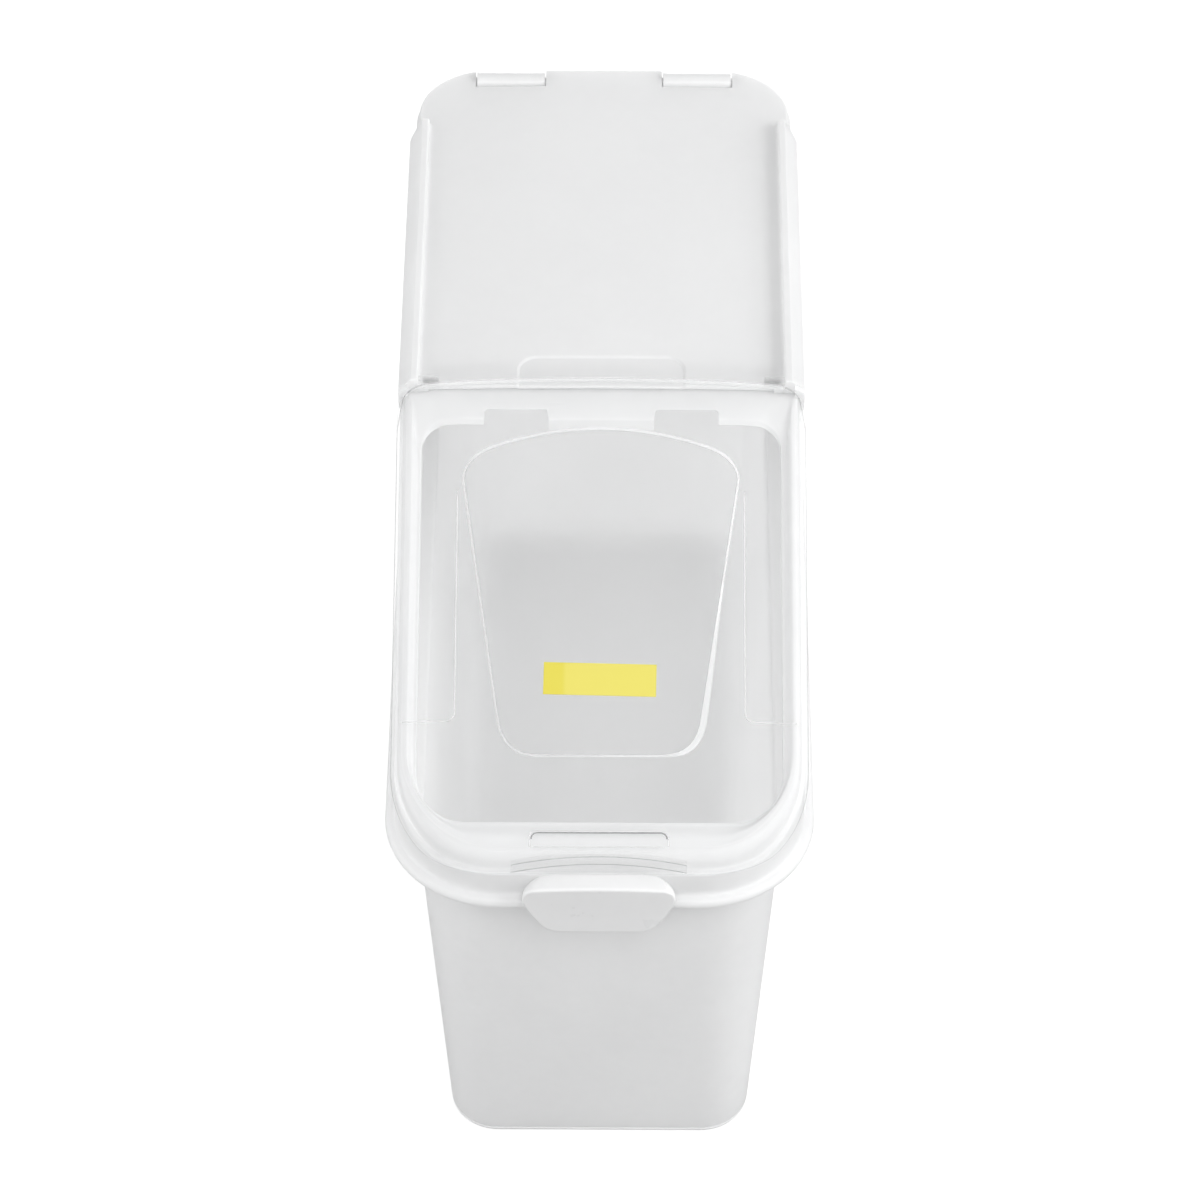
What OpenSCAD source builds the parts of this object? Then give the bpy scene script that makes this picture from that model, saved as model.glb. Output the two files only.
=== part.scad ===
// Ingredient bin with a flip lid: tapered tub with a wide collar, hinged rear cover and clear flip lid.
// Millimetres, +Z up, front towards -Y. The bin stands on its floor at z = 0.

/* [Overall] */
// Height of the rear cover's face above the ground
cover_z = 344; // [330:1:360]
// Width of the collar
collar_w = 208; // [200:1:216]
// Length of the collar, front to back
collar_l = 480.3; // [470:1:495]
// Level run of the sloping mouth, from the collar's front to the bend
mouth_run = 234.3; // [226:1:242]
// Slope of the mouth and the flip lid, in degrees
mouth_slope = 25.5; // [24:0.5:27]

/* [Tub] */
// Width of the tub at the ground
base_w = 158; // [150:1:170]
// How far the tub's front stands in from the collar at the ground
base_front_in = 17.3; // [14:0.5:24]
// How far the tub's back stands in from the collar at the ground
base_back_in = 9; // [7:0.5:16]
// How far the tub's sides stand in from the collar under the bead
tub_side_in = 11.5; // [8:0.5:14]
// How far the tub's front stands in from the collar under the bead
tub_front_in = 8.3; // [6:0.5:12]
// How far the tub's back stands in from the collar under the bead
tub_back_in = 4; // [3.5:0.5:7]
// Corner radius of the tub at the ground
base_r = 25; // [18:1:34]
// Corner radius of the tub under the bead
tub_top_r = 40; // [30:1:46]
// Height of the bevel round the foot of the tub
foot_h = 4; // [2:0.5:6]
// Wall thickness
wall = 3; // [2.5:0.1:3.4]
// Floor thickness
floor_t = 4; // [3:0.5:6]

/* [Collar and bead] */
// Corner radius at the collar's front
collar_front_r = 54; // [46:1:60]
// Corner radius at the collar's back
collar_back_r = 34; // [28:1:42]
// Depth of the bead's underside below the cover's face
bead_drop = 136.5; // [133:0.5:148]
// Height of the bead
bead_h = 7; // [5:0.5:9]
// How far the bead stands out of the collar
bead_out = 5.3; // [3.5:0.1:6.5]

/* [Mouth rim] */
// How far the upper wall stands in from the collar's sides
rim_side_in = 2.2; // [2:0.1:2.8]
// How far the upper wall stands in from the collar's front
rim_front_in = 4.3; // [3:0.1:6]
// How far the upper wall stands in from the collar's back
rim_back_in = 3; // [2.5:0.1:3.5]
// Width of the rim beside the mouth
rim_side_w = 9.3; // [6:0.1:14]
// Width of the rim in front of the mouth
rim_front_w = 16.4; // [12:0.1:22]
// Distance from the bend to the mouth's upper edge
mouth_top_y = 18.5; // [17.5:0.5:24]
// Corner radius at the mouth's front
mouth_front_r = 24; // [14:1:32]
// Corner radius at the mouth's top
mouth_top_r = 12; // [8:1:18]
// Thickness of the rim and the cross bar
rim_t = 2.5; // [2:0.1:3]
// Depth of the lip turned down round the mouth, below the rim
lip_h = 2; // [1:0.5:4]
// Reach of the cross bar behind the bend
bar_back = 14; // [10:0.5:20]
// Width of each notch in the cross bar
notch_w = 33; // [26:1:38]
// Distance of each notch's middle from the centre line
notch_x = 43.7; // [40:0.5:48]
// Distance from the bend to the notches' upper edge
notch_y = 12.8; // [11:0.2:15]
// Depth of the tongue's lip below the rim, between the notches
tongue_h = 6; // [4:0.5:9]

/* [Rear cover] */
// Thickness of the cover
cover_t = 2.5; // [2:0.1:3]
// Crown of the cover, the rise at its middle
crown = 1.8; // [1.2:0.1:2]
// How far the rails stand in from the collar's sides
rail_in = 9.5; // [9:0.1:10.5]
// Width of a rail's top
rail_w = 4; // [3:0.1:4.6]
// Height of the rails above the cover's edge
rail_h = 6; // [5.8:0.1:7]
// How far the side flanges stand out of the collar's sides
flange_out = 0.75; // [0.5:0.05:1.3]
// Depth of the side flanges
flange_h = 11; // [8:0.5:12]
// Thickness of the side flanges
flange_t = 2; // [1.6:0.1:2.1]
// How far the cover's back stands in from the collar's sides
back_in = 3.5; // [2.5:0.1:5]
// Corner radius at the cover's back
cover_back_r = 35; // [28:1:42]
// Overhang of the cover behind the collar
cover_over = 3.6; // [3:0.1:4]
// Distance from the cover's back edge to the end of the rails
rail_end = 40.5; // [36:0.5:50]
// Length of the ramp at the back of each flange
ramp_l = 17; // [10:0.5:24]
// Width of the finger recess at the cover's front
recess_w = 86; // [70:1:100]
// Length of the finger recess
recess_l = 20; // [14:0.5:26]
// Depth of the finger recess
recess_d = 1; // [0.6:0.1:1.2]
// Corner radius of the finger recess
recess_r = 10; // [6:0.5:14]

/* [Back hinge] */
// Distance of each hinge clip's middle from the centre line
clip_x = 51; // [44:0.5:56]
// Width of each hinge clip
clip_w = 37; // [28:0.5:40]
// Wall of the hinge clip round its rod
clip_t = 2.92; // [2.4:0.02:3.1]
// Diameter of the cover's hinge rods
rod_d = 6; // [5:0.1:6.4]
// Depth of the hinge rods' centre below the cover's edge
rod_drop = 2.8; // [2.6:0.1:3.2]
// Distance of the hinge rods' centre from the cover's back edge
rod_in = 5.9; // [5.6:0.1:6.4]
// Height of the clip's mouth above the rods' centre
clip_mouth = 1; // [0.5:0.1:1.5]

/* [Flip lid] */
// Thickness of the clear lid
lid_t = 2; // [1.6:0.1:2.2]
// How far the lid's sides stand out of the collar
lid_side_out = 1.5; // [1.2:0.1:2]
// How far the lid's front stands out of the collar
lid_front_out = 0.7; // [0:0.1:1.4]
// Corner radius at the lid's front
lid_front_r = 51; // [44:1:58]
// Corner radius at the lid's rear
lid_rear_r = 17; // [12:1:22]
// Depth of the lid's skirt, square to its face
skirt_h = 12; // [10:0.5:13]
// Depth of the lid's front skirt below its face, straight down
front_skirt_h = 7.5; // [6:0.5:10]
// Height of the lid's rear lip above the cover's edge, at its top
lip_z = 4.5; // [4.4:0.1:4.8]
// Level length of the rear lip in front of the bend
lip_front = 2.5; // [2:0.1:3]
// Reach of the rear lip behind the bend, at the middle
lip_back = 2; // [1.6:0.1:2.1]
// Bow of the rear lip, middle to ends
lip_bow = 4.3; // [3:0.1:5]
// Distance from the ends of the bowed rear lip to the lid's sides
lip_in = 17; // [16.5:0.5:22]
// Height of the raised panel on the lid
panel_h = 0.8; // [0.5:0.1:1.2]
// Distance from the bend to the panel's arched top, down the slope
panel_top = 29; // [24:1:36]
// Distance from the bend to the panel's foot, down the slope
panel_foot = 203; // [190:1:206]
// Width of the panel at its top
panel_w = 142; // [120:1:150]
// Width of the panel at its foot
panel_foot_w = 100; // [80:1:116]
// Radius of the panel's foot corners
panel_foot_r = 20; // [12:1:26]
// Radius of the panel's arched top
panel_arch_r = 140; // [110:5:190]

/* [Lid pins] */
// Diameter of the pins that the lid turns on
pin_d = 3; // [2.6:0.1:3.2]
// Height of the pins above the cover's edge
pin_z = 3.5; // [3.4:0.1:3.7]
// Distance of the pins behind the bend
pin_y = 1; // [0.8:0.1:1.4]
// How far each pin reaches into its rail
pin_in_rail = 5; // [4:0.1:5.2]
// Diameter of the lid's pin bosses
boss_d = 5.4; // [5:0.1:5.6]
// Length of each pin boss
boss_l = 8.5; // [6:0.5:10]

/* [Lift tab and thumb pocket] */
// Width of the arched lift tab
tab_w = 88; // [70:1:96]
// Reach of the lift tab in front of the lid
tab_out = 3.2; // [2.5:0.1:4]
// Thickness of the lift tab
tab_t = 2; // [1.5:0.1:3]
// Rise of the lift tab's arch
tab_rise = 5; // [3:0.5:5.5]
// Width of the thumb pocket
pocket_w = 68; // [50:1:80]
// Length of the thumb pocket, down the slope
pocket_l = 7; // [5:0.5:9]
// Distance from the lid's front to the thumb pocket's lower edge, level
pocket_in = 8.6; // [7.5:0.1:12]
// Depth of the thumb pocket
pocket_d = 1; // [0.5:0.1:1.2]

/* [Label] */
// Length of the label
label_w = 57; // [40:1:64]
// Height of the label
label_h = 17; // [12:0.5:24]
// Thickness of the label
label_t = 0.3; // [0.2:0.05:0.5]
// Distance of the label's middle from the bend, down the slope
label_at = 163.5; // [120:0.5:175]
// Tilt of the label on the lid, in degrees
label_tilt = -1.2; // [-3:0.2:3]

/* [Front grip] */
// Width of the grip at its top
grip_w = 77; // [60:1:84]
// Width of the grip at its foot
grip_foot_w = 46; // [34:1:56]
// Height of the grip
grip_h = 31.5; // [26:0.5:40]
// Reach of the grip in front of the collar
grip_out = 9.2; // [8.5:0.1:12]
// Thickness of the grip's plates
grip_t = 3.3; // [2.5:0.1:3.4]
// Height of the grip's top above the bead's underside
grip_up = 20; // [16:0.5:22]
// Radius of the grip's upper corners
grip_r = 7; // [4:0.5:9]

/* [Clearances] */
// Gap under the rear cover, on the walls and the cross bar
seat_gap = 0.5; // [0.3:0.05:0.6]
// Gap between the clear lid and the rim
lid_gap = 0.8; // [0.5:0.1:1.2]
// Gap between the skirts and the ledge below them
ledge_gap = 0.6; // [0.4:0.1:1]
// Gap round the hinge clips in the cover's slots
slot_gap = 0.8; // [0.5:0.1:1.2]
// Clearance of a pin or rod in its bore, on the radius
turn_fit = 0.08; // [0.04:0.01:0.1]
// Clearance of a pin in its rail, on the radius
press_fit = 0.01; // [0.01:0.01:0.02]

/* [Hidden] */
$fn = 64;
far = 800;

// Places along Y, from the bend at y = 0 before the whole is centred
bead_z = cover_z - bead_drop;
y_front = -mouth_run;
y_back = collar_l - mouth_run;
cover_back_y = y_back + cover_over;
rod_y = cover_back_y - rod_in;
rod_z = cover_z - rod_drop;
bead_back_y = y_back + bead_out;
grip_front_y = y_front - grip_out;
y_centre = (grip_front_y + max(bead_back_y, cover_back_y)) / 2;

// The clear lid's outer face: a plane through the front of its rear lip
slope_tan = tan(mouth_slope);
slope_cos = cos(mouth_slope);
function lid_face_z(y) = cover_z + lip_z + slope_tan * (y + lip_front);
function below_lid(y, depth) = lid_face_z(y) - depth / slope_cos;

// Heights of the rim, the ledge and the front skirt
rim_depth = lid_t + lid_gap;
seat_z = cover_z - cover_t - seat_gap;
wall_back_z = rod_z - rod_d / 2 - 0.5;
lid_front_y = y_front - lid_front_out;
front_cut = lid_front_y - 4;
wall_back_y = y_back - rim_back_in;
skirt_front_z = lid_face_z(lid_front_y) - front_skirt_h;
ledge_front_z = skirt_front_z - ledge_gap;
ledge_back_z = cover_z - flange_h - ledge_gap;
function slope_y_at(z, depth) = (z + depth / slope_cos - cover_z - lip_z) / slope_tan - lip_front;

// A plan outline with its own radius at the front and the back corners
module plan(half, y0, y1, r_front, r_back) {
    polygon([[-half + r_front, y0], [half - r_front, y0], [half, y0 + r_front], [half, y1 - r_back],
             [half - r_back, y1], [-half + r_back, y1], [-half, y1 - r_back], [-half, y0 + r_front]]);
    for (s = [-1, 1]) {
        translate([s * (half - r_front), y0 + r_front]) circle(r = r_front);
        translate([s * (half - r_back), y1 - r_back]) circle(r = r_back);
    }
}

// A plan outline made tall enough for any cut
module tall(z0 = 0) {
    translate([0, 0, z0]) linear_extrude(height = far) children();
}

// A side view in Y and Z, made wide enough for any cut
module side_view(points, width = far) {
    rotate([90, 0, 90]) translate([0, 0, -width / 2]) linear_extrude(height = width) polygon(points);
}

// Moves flat work onto the lid's outer face: x across, y up the slope from the bend
module on_lid() {
    translate([0, 0, lid_face_z(0)]) rotate([mouth_slope, 0, 0]) children();
}

// ---- Tub ----

module thin_slab(half, y0, y1, r, z) {
    translate([0, 0, z]) linear_extrude(height = 0.01) plan(half, y0, y1, r, r);
}

// Tapered tub solid, made smaller all round by the inset
module tub_solid(inset, z0, z1) {
    lean = z0 / bead_z;
    half_0 = base_w / 2 - inset;
    half_1 = collar_w / 2 - tub_side_in - inset;
    f_0 = y_front + base_front_in + inset;
    f_1 = y_front + tub_front_in + inset;
    b_0 = y_back - base_back_in - inset;
    b_1 = y_back - tub_back_in - inset;
    bevel = inset > 0 ? 0 : foot_h;
    hull() {
        thin_slab(half_0 + (half_1 - half_0) * lean - bevel, f_0 + (f_1 - f_0) * lean + bevel,
                  b_0 + (b_1 - b_0) * lean - bevel, base_r - inset, z0);
        thin_slab(half_0 + (half_1 - half_0) * (lean + foot_h / bead_z),
                  f_0 + (f_1 - f_0) * (lean + foot_h / bead_z), b_0 + (b_1 - b_0) * (lean + foot_h / bead_z),
                  base_r - inset, z0 + foot_h);
        thin_slab(half_1, f_1, b_1, tub_top_r - inset, z1 - 0.01);
    }
}

// Outline of the collar and of the upper wall, made smaller by the inset
module collar_plan(inset) {
    plan(collar_w / 2 - inset, y_front + inset, y_back - inset, collar_front_r - inset, collar_back_r - inset);
}
module wall_plan(inset) {
    plan(collar_w / 2 - rim_side_in - inset, y_front + rim_front_in + inset, y_back - rim_back_in - inset,
         collar_front_r - rim_front_in - inset, collar_back_r - rim_back_in - inset);
}
module mouth_plan(grow) {
    plan(collar_w / 2 - rim_side_in - rim_side_w + grow, y_front + rim_front_in + rim_front_w - grow,
         -mouth_top_y + grow, mouth_front_r + grow, mouth_top_r + grow);
}

// Side view below the ledge that the skirts hang over
ledge_line = [[-far, bead_z], [far, bead_z], [far, ledge_back_z],
              [slope_y_at(ledge_back_z, skirt_h + ledge_gap), ledge_back_z],
              [slope_y_at(ledge_front_z, skirt_h + ledge_gap), ledge_front_z], [-far, ledge_front_z]];

// Side view below the rim and the seat of the rear cover
function rim_line(depth, drop) = [[front_cut, bead_z], [far, bead_z], [far, wall_back_z - drop],
              [rod_y - rod_d, wall_back_z - drop], [rod_y - rod_d, seat_z - drop],
              [slope_y_at(seat_z - drop, depth), seat_z - drop], [front_cut, below_lid(front_cut, depth)]];

module bin_tub() {
    color([0.95, 0.95, 0.95]) translate([0, -y_centre, 0]) difference() {
        union() {
            tub_solid(0, 0, bead_z + wall);
            intersection() {
                tall() collar_plan(0);
                side_view(ledge_line);
            }
            intersection() {
                tall() wall_plan(0);
                side_view(rim_line(rim_depth, 0));
            }
            translate([0, 0, bead_z]) linear_extrude(height = bead_h) collar_plan(-bead_out);
        }
        tub_solid(wall, floor_t, bead_z + wall + 0.5);
        collar_cavity();
        tall(bead_z + wall) mouth_plan(0);
        bar_notches();
    }
}

// Hollow of the collar, leaving the rim, the cross bar, the lip and the tongue
module collar_cavity() {
    lip_depth = rim_depth + rim_t + lip_h;
    difference() {
        intersection() {
            tall(bead_z + wall) wall_plan(wall);
            union() {
                side_view(rim_line(rim_depth + rim_t, rim_t));
                translate([-far / 2, bar_back, 0]) cube([far, far, far]);
            }
        }
        intersection() {
            tall(bead_z + wall) mouth_plan(rim_t);
            side_view([[front_cut, below_lid(front_cut, lip_depth)], [front_cut, cover_z + far],
                       [1 - mouth_top_y + rim_t, cover_z + far],
                       [1 - mouth_top_y + rim_t, below_lid(-mouth_top_y, lip_depth)],
                       [-mouth_top_y, below_lid(-mouth_top_y, lip_depth)]]);
        }
        translate([-(notch_x - notch_w / 2), -mouth_top_y, below_lid(-mouth_top_y, rim_depth + rim_t + tongue_h)])
            cube([2 * notch_x - notch_w, rim_t, rim_t + tongue_h]);
    }
}

module bar_notches() {
    for (s = [-1, 1])
        translate([s * notch_x - notch_w / 2, -mouth_top_y - rim_t, bead_z + bead_h])
            cube([notch_w, mouth_top_y + rim_t - notch_y, far]);
}

// ---- Front grip ----

// Points along an arc, both ends included
function arc(x, y, r, a0, a1, steps = 9) =
    [for (i = [0:steps]) [x + r * cos(a0 + (a1 - a0) * i / steps), y + r * sin(a0 + (a1 - a0) * i / steps)]];

// Outline of the pull tongue, in X and Z, with rounded corners
module grip_outline() {
    half = grip_w / 2 - grip_r;
    foot = grip_foot_w / 2 - grip_r;
    drop = grip_h - grip_r;
    lean = atan((half - foot) / (drop - grip_r));
    polygon(concat(arc(half, -grip_r, grip_r, 90, -lean), arc(foot, -drop, grip_r, -lean, -90),
                   arc(-foot, -drop, grip_r, 270, 180 + lean), arc(-half, -grip_r, grip_r, 180 + lean, 90)));
}

module front_grip() {
    color([0.97, 0.97, 0.97]) translate([0, -y_centre, 0]) difference() {
        translate([0, y_front, bead_z + grip_up]) rotate([90, 0, 0])
            linear_extrude(height = grip_out) grip_outline();
        translate([-grip_w, y_front - grip_out + grip_t, bead_z + grip_up - grip_h - 1])
            cube([2 * grip_w, grip_out, grip_h + 1 - grip_t]);
    }
}

// ---- Back hinge ----

module hinge_clip(side) {
    color([0.98, 0.98, 0.98]) translate([side * clip_x - clip_w / 2, -y_centre, 0]) difference() {
        union() {
            translate([0, rod_y, rod_z]) rotate([0, 90, 0])
                cylinder(r = rod_d / 2 + turn_fit + clip_t, h = clip_w);
            translate([0, wall_back_y, ledge_back_z])
                cube([clip_w, rod_y + rod_d / 2 + turn_fit + clip_t - wall_back_y, rod_z - ledge_back_z]);
        }
        translate([-1, rod_y, rod_z]) rotate([0, 90, 0]) cylinder(r = rod_d / 2 + turn_fit, h = clip_w + 2);
        translate([-1, rod_y - far, wall_back_z]) cube([clip_w + 2, far, clip_mouth + rod_z - wall_back_z]);
        translate([-1, wall_back_y - far, wall_back_z - far]) cube([clip_w + 2, far, far]);
    }
}

// ---- Rear cover ----

// Widths of the cover, and the radius of its crown
rail_gap = collar_w - 2 * rail_in;
flange_w = collar_w + 2 * flange_out;
back_w = collar_w - 2 * back_in;
crown_r = (pow(rail_gap / 2, 2) + pow(crown, 2)) / (2 * crown);
cover_front_y = -0.8 * cover_t;
flange_front_y = 3 * cover_front_y;
rail_front_y = pin_y - 1.25 * pin_d;
rail_back_y = cover_back_y - rail_end;
shoulder_x = rail_gap / 2 + rail_w;
bevel = rail_w / 4;
ramp_slope = ramp_l / ((flange_w - back_w) / 2);

// Cross section of one rail, its shoulder and its flange, on the +X side
module rail_section() {
    polygon([[rail_gap / 2 - flange_t, -cover_t], [rail_gap / 2 - flange_t, 0], [rail_gap / 2, bevel / 2],
             [rail_gap / 2, rail_h - bevel], [rail_gap / 2 + bevel, rail_h], [shoulder_x, rail_h],
             [flange_w / 2 - bevel, bevel], [flange_w / 2, -bevel / 2], [flange_w / 2, -flange_h],
             [flange_w / 2 - flange_t, -flange_h], [flange_w / 2 - flange_t, -cover_t]]);
}

module rail_side(side) {
    in_x = side * (rail_gap / 2 - cover_t);
    intersection() {
        translate([0, rail_back_y, cover_z]) rotate([90, 0, 0]) linear_extrude(height = rail_back_y - flange_front_y)
            mirror([side < 0 ? 1 : 0, 0]) rail_section();
        linear_extrude(height = far) polygon([
            [in_x, rail_front_y], [side * (shoulder_x + bevel), rail_front_y],
            [side * (shoulder_x + bevel), flange_front_y], [side * (flange_w / 2 + 1), flange_front_y],
            [side * (flange_w / 2 + 1), rail_back_y - ramp_l - ramp_slope],
            [side * back_w / 2, rail_back_y], [in_x, rail_back_y]]);
    }
}

// Crowned sheet of the cover
module crowned_sheet() {
    intersection() {
        translate([0, cover_back_y + 1, cover_z + crown - crown_r]) rotate([90, 0, 0]) difference() {
            cylinder(r = crown_r, h = cover_back_y + 6, $fn = 360);
            translate([0, 0, -1]) cylinder(r = crown_r - cover_t, h = cover_back_y + 8, $fn = 360);
        }
        tall(cover_z - flange_h) plan(back_w / 2, cover_front_y, cover_back_y, bevel / 2, cover_back_r);
    }
}

// Finger recess in the cover's front edge, with rounded back corners
module finger_recess() {
    translate([0, 0, cover_z + crown - recess_d]) linear_extrude(height = far)
        plan(recess_w / 2, -recess_l, recess_l, bevel, recess_r);
}

module finger_recess_pad() {
    pad_z = cover_z + crown - recess_d - 0.8 * cover_t;
    translate([0, 0, pad_z]) linear_extrude(height = 0.75 * cover_t)
        plan(recess_w / 2 + cover_t, cover_front_y, recess_l + cover_t, bevel, recess_r + cover_t);
}

module rear_cover() {
    ear_l = rod_d;
    slot_front_y = rod_y - rod_d / 2 - turn_fit - clip_t - 1.5 * slot_gap;
    color([0.93, 0.93, 0.92, 0.95]) translate([0, -y_centre, 0]) union() {
        difference() {
            union() {
                crowned_sheet();
                finger_recess_pad();
                for (s = [-1, 1]) {
                    rail_side(s);
                    for (e = [-1, 1])
                        translate([s * clip_x + e * (clip_w / 2 + slot_gap + ear_l / 2) - ear_l / 2, rod_y, rod_z])
                            rotate([0, 90, 0]) cylinder(d = rod_d, h = ear_l);
                }
            }
            finger_recess();
            for (s = [-1, 1]) {
                translate([s * clip_x - clip_w / 2 - slot_gap, slot_front_y, cover_z - far / 2])
                    cube([clip_w + 2 * slot_gap, far, far]);
                translate([s * (rail_gap / 2 - bevel), 0, 0]) pin_hole(s);
            }
        }
        for (s = [-1, 1])
            translate([s * clip_x - clip_w / 2 - slot_gap - 0.5, rod_y, rod_z]) rotate([0, 90, 0])
                cylinder(d = rod_d, h = clip_w + 2 * slot_gap + 1);
    }
}

module pin_hole(side) {
    translate([0, pin_y, cover_z + pin_z]) rotate([0, side * 90, 0])
        cylinder(r = pin_d / 2 + press_fit, h = bevel + pin_in_rail);
}

// ---- Pins of the flip lid ----

boss_clear = 2.5;
boss_in_x = rail_gap / 2 - boss_clear - boss_l;
pin_in_boss = boss_l - 0.5;

module lid_pin(side) {
    in_x = boss_in_x + boss_l - pin_in_boss;
    color([0.9, 0.93, 0.95]) translate([side * in_x, pin_y - y_centre, cover_z + pin_z])
        rotate([0, side * 90, 0]) cylinder(d = pin_d, h = pin_in_boss + boss_clear + pin_in_rail);
}

// ---- Flip lid ----

lid_w = collar_w + 2 * lid_side_out;
lip_half = lid_w / 2 - lip_in;
lip_r = (pow(lip_half, 2) + pow(lip_bow, 2)) / (2 * lip_bow);

// Outline of the clear lid from above, made smaller by the inset
module lid_plan(inset) {
    plan(lid_w / 2 - inset, lid_front_y + inset, lip_back - lip_bow, lid_front_r - inset, lid_rear_r);
}

// The bowed rear lip, from above
module lip_plan() {
    intersection() {
        translate([0, lip_back - lip_r]) circle(r = lip_r, $fn = 720);
        translate([-lip_half, -lid_rear_r]) square([2 * lip_half, 2 * lid_rear_r]);
    }
}

// Side view of the lid's outside: face, rear lip and lower edge
lid_outer_view = [[front_cut, lid_face_z(front_cut)], [-lip_front, cover_z + lip_z], [far, cover_z + lip_z],
                  [far, below_lid(0, skirt_h)], [0, below_lid(0, skirt_h)],
                  [slope_y_at(skirt_front_z, skirt_h), skirt_front_z], [front_cut, skirt_front_z]];

// Side view of the hollow under the lid
inner_lip_y = -lip_front - lid_t * tan(mouth_slope / 2);
lid_inner_view = [[front_cut, below_lid(front_cut, lid_t)], [inner_lip_y, cover_z + lip_z - lid_t],
                  [far, cover_z + lip_z - lid_t], [far, bead_z], [front_cut, bead_z]];

module flip_lid() {
    color([0.85, 0.9, 0.92, 0.35]) translate([0, -y_centre, 0]) {
        difference() {
            union() {
                intersection() {
                    tall() union() {
                        lid_plan(0);
                        lip_plan();
                    }
                    side_view(lid_outer_view);
                }
                lift_tab();
            }
            intersection() {
                tall() union() {
                    lid_plan(lid_t);
                    translate([-lid_w / 2 + lid_t, -lid_rear_r * 2]) square([lid_w - 2 * lid_t, far]);
                }
                side_view(lid_inner_view);
            }
            on_lid() translate([-pocket_w / 2, -pocket_at, -pocket_d]) cube([pocket_w, pocket_l, far]);
        }
        raised_panel();
        for (s = [-1, 1]) pin_boss(s);
    }
}
pocket_at = (mouth_run + lid_front_out - pocket_in) / slope_cos;

module pin_boss(side) {
    translate([side * boss_in_x, pin_y, cover_z + pin_z]) rotate([0, side * 90, 0]) difference() {
        union() {
            cylinder(d = boss_d, h = boss_l);
            translate([side * (pin_z - lip_z) + (side > 0 ? 0 : -lid_t), -pin_y - 2 * lip_front, 0])
                cube([lid_t, pin_y + 2 * lip_front, boss_l]);
        }
        translate([0, 0, -1]) cylinder(d = pin_d + 2 * turn_fit, h = boss_l + 2);
    }
}

// The raised panel: wide and arched at its top, narrower and rounded at its foot
module raised_panel() {
    half = panel_w / 2;
    foot = panel_foot_w / 2;
    foot_y = panel_foot_r - panel_foot;
    side_y = -0.39 * panel_w;
    on_lid() linear_extrude(height = panel_h) {
        intersection() {
            translate([0, -panel_top - panel_arch_r]) circle(r = panel_arch_r, $fn = 180);
            polygon([[half, 0], [-half, 0], [-half, side_y], [-foot, foot_y], [panel_foot_r - foot, -panel_foot],
                     [foot - panel_foot_r, -panel_foot], [foot, foot_y], [half, side_y]]);
        }
        for (s = [-1, 1]) translate([s * (foot - panel_foot_r), foot_y]) circle(r = panel_foot_r);
    }
}

// Arched lip for the fingers on the lid's front
module lift_tab() {
    arch_r = (pow(tab_w / 2, 2) + pow(tab_rise, 2)) / (2 * tab_rise);
    tab_root = 0.75 * lid_t;
    tab_z = lid_face_z(lid_front_y) + tab_t / 2;
    intersection() {
        translate([0, lid_front_y + tab_root, tab_z - arch_r]) rotate([90, 0, 0]) difference() {
            cylinder(r = arch_r, h = tab_out + tab_root, $fn = 360);
            translate([0, 0, -1]) cylinder(r = arch_r - tab_t, h = tab_out + tab_root + 2, $fn = 360);
        }
        translate([-tab_w / 2, lid_front_y - tab_out - 1, tab_z - tab_rise - tab_t])
            cube([tab_w, tab_out + tab_root + 2, tab_rise + 2 * tab_t]);
    }
}

// ---- Label ----

module lid_label() {
    color([0.97, 0.91, 0.35]) translate([0, -y_centre, 0]) on_lid() translate([0, -label_at, panel_h])
        rotate([0, 0, label_tilt]) translate([-label_w / 2, -label_h / 2, 0]) cube([label_w, label_h, label_t]);
}

bin_tub();
front_grip();
hinge_clip(-1);  // hinge_clip_left
hinge_clip(1);  // hinge_clip_right
rear_cover();
lid_pin(-1);  // lid_pin_left
lid_pin(1);  // lid_pin_right
flip_lid();
lid_label();
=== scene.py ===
import math

import bmesh
import bpy
import numpy as np
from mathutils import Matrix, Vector


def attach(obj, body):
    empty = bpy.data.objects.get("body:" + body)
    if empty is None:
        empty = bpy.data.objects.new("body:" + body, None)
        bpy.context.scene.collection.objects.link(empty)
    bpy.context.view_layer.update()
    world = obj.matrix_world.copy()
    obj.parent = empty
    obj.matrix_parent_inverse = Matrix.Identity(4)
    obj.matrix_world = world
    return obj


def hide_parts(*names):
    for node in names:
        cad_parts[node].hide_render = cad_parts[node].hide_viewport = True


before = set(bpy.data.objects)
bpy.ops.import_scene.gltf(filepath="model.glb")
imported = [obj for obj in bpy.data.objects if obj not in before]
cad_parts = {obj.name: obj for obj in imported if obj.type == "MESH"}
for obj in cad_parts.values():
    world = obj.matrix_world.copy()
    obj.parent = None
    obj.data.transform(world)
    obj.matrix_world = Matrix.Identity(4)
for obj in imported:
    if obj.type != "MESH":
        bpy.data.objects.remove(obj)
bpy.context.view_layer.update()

# ----------------------------------------------------------
# Sizes, in millimetres. Heights are above the ground; lengths along the bin
# are measured from the bend, where the sloping mouth meets the rear cover.

# The bend's place in the frame
BEND_Y = -3.9

# Outlines in plan: half width, front end, back end, radius of the front corners, radius of the back corners
FOOT_PLAN = (79.0, -217.0, 237.0, 25.0, 25.0)
TUB_TOP_PLAN = (92.5, -226.0, 242.0, 40.0, 40.0)
COLLAR_PLAN = (104.0, -234.3, 246.0, 54.0, 34.0)
WALL_PLAN = (101.8, -230.0, 243.0, 49.7, 31.0)
MOUTH_PLAN = (92.5, -210.8, -18.0, 24.0, 12.0)
LID_PLAN = (105.5, -235.0, -2.3, 51.0, 17.0)

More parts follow.
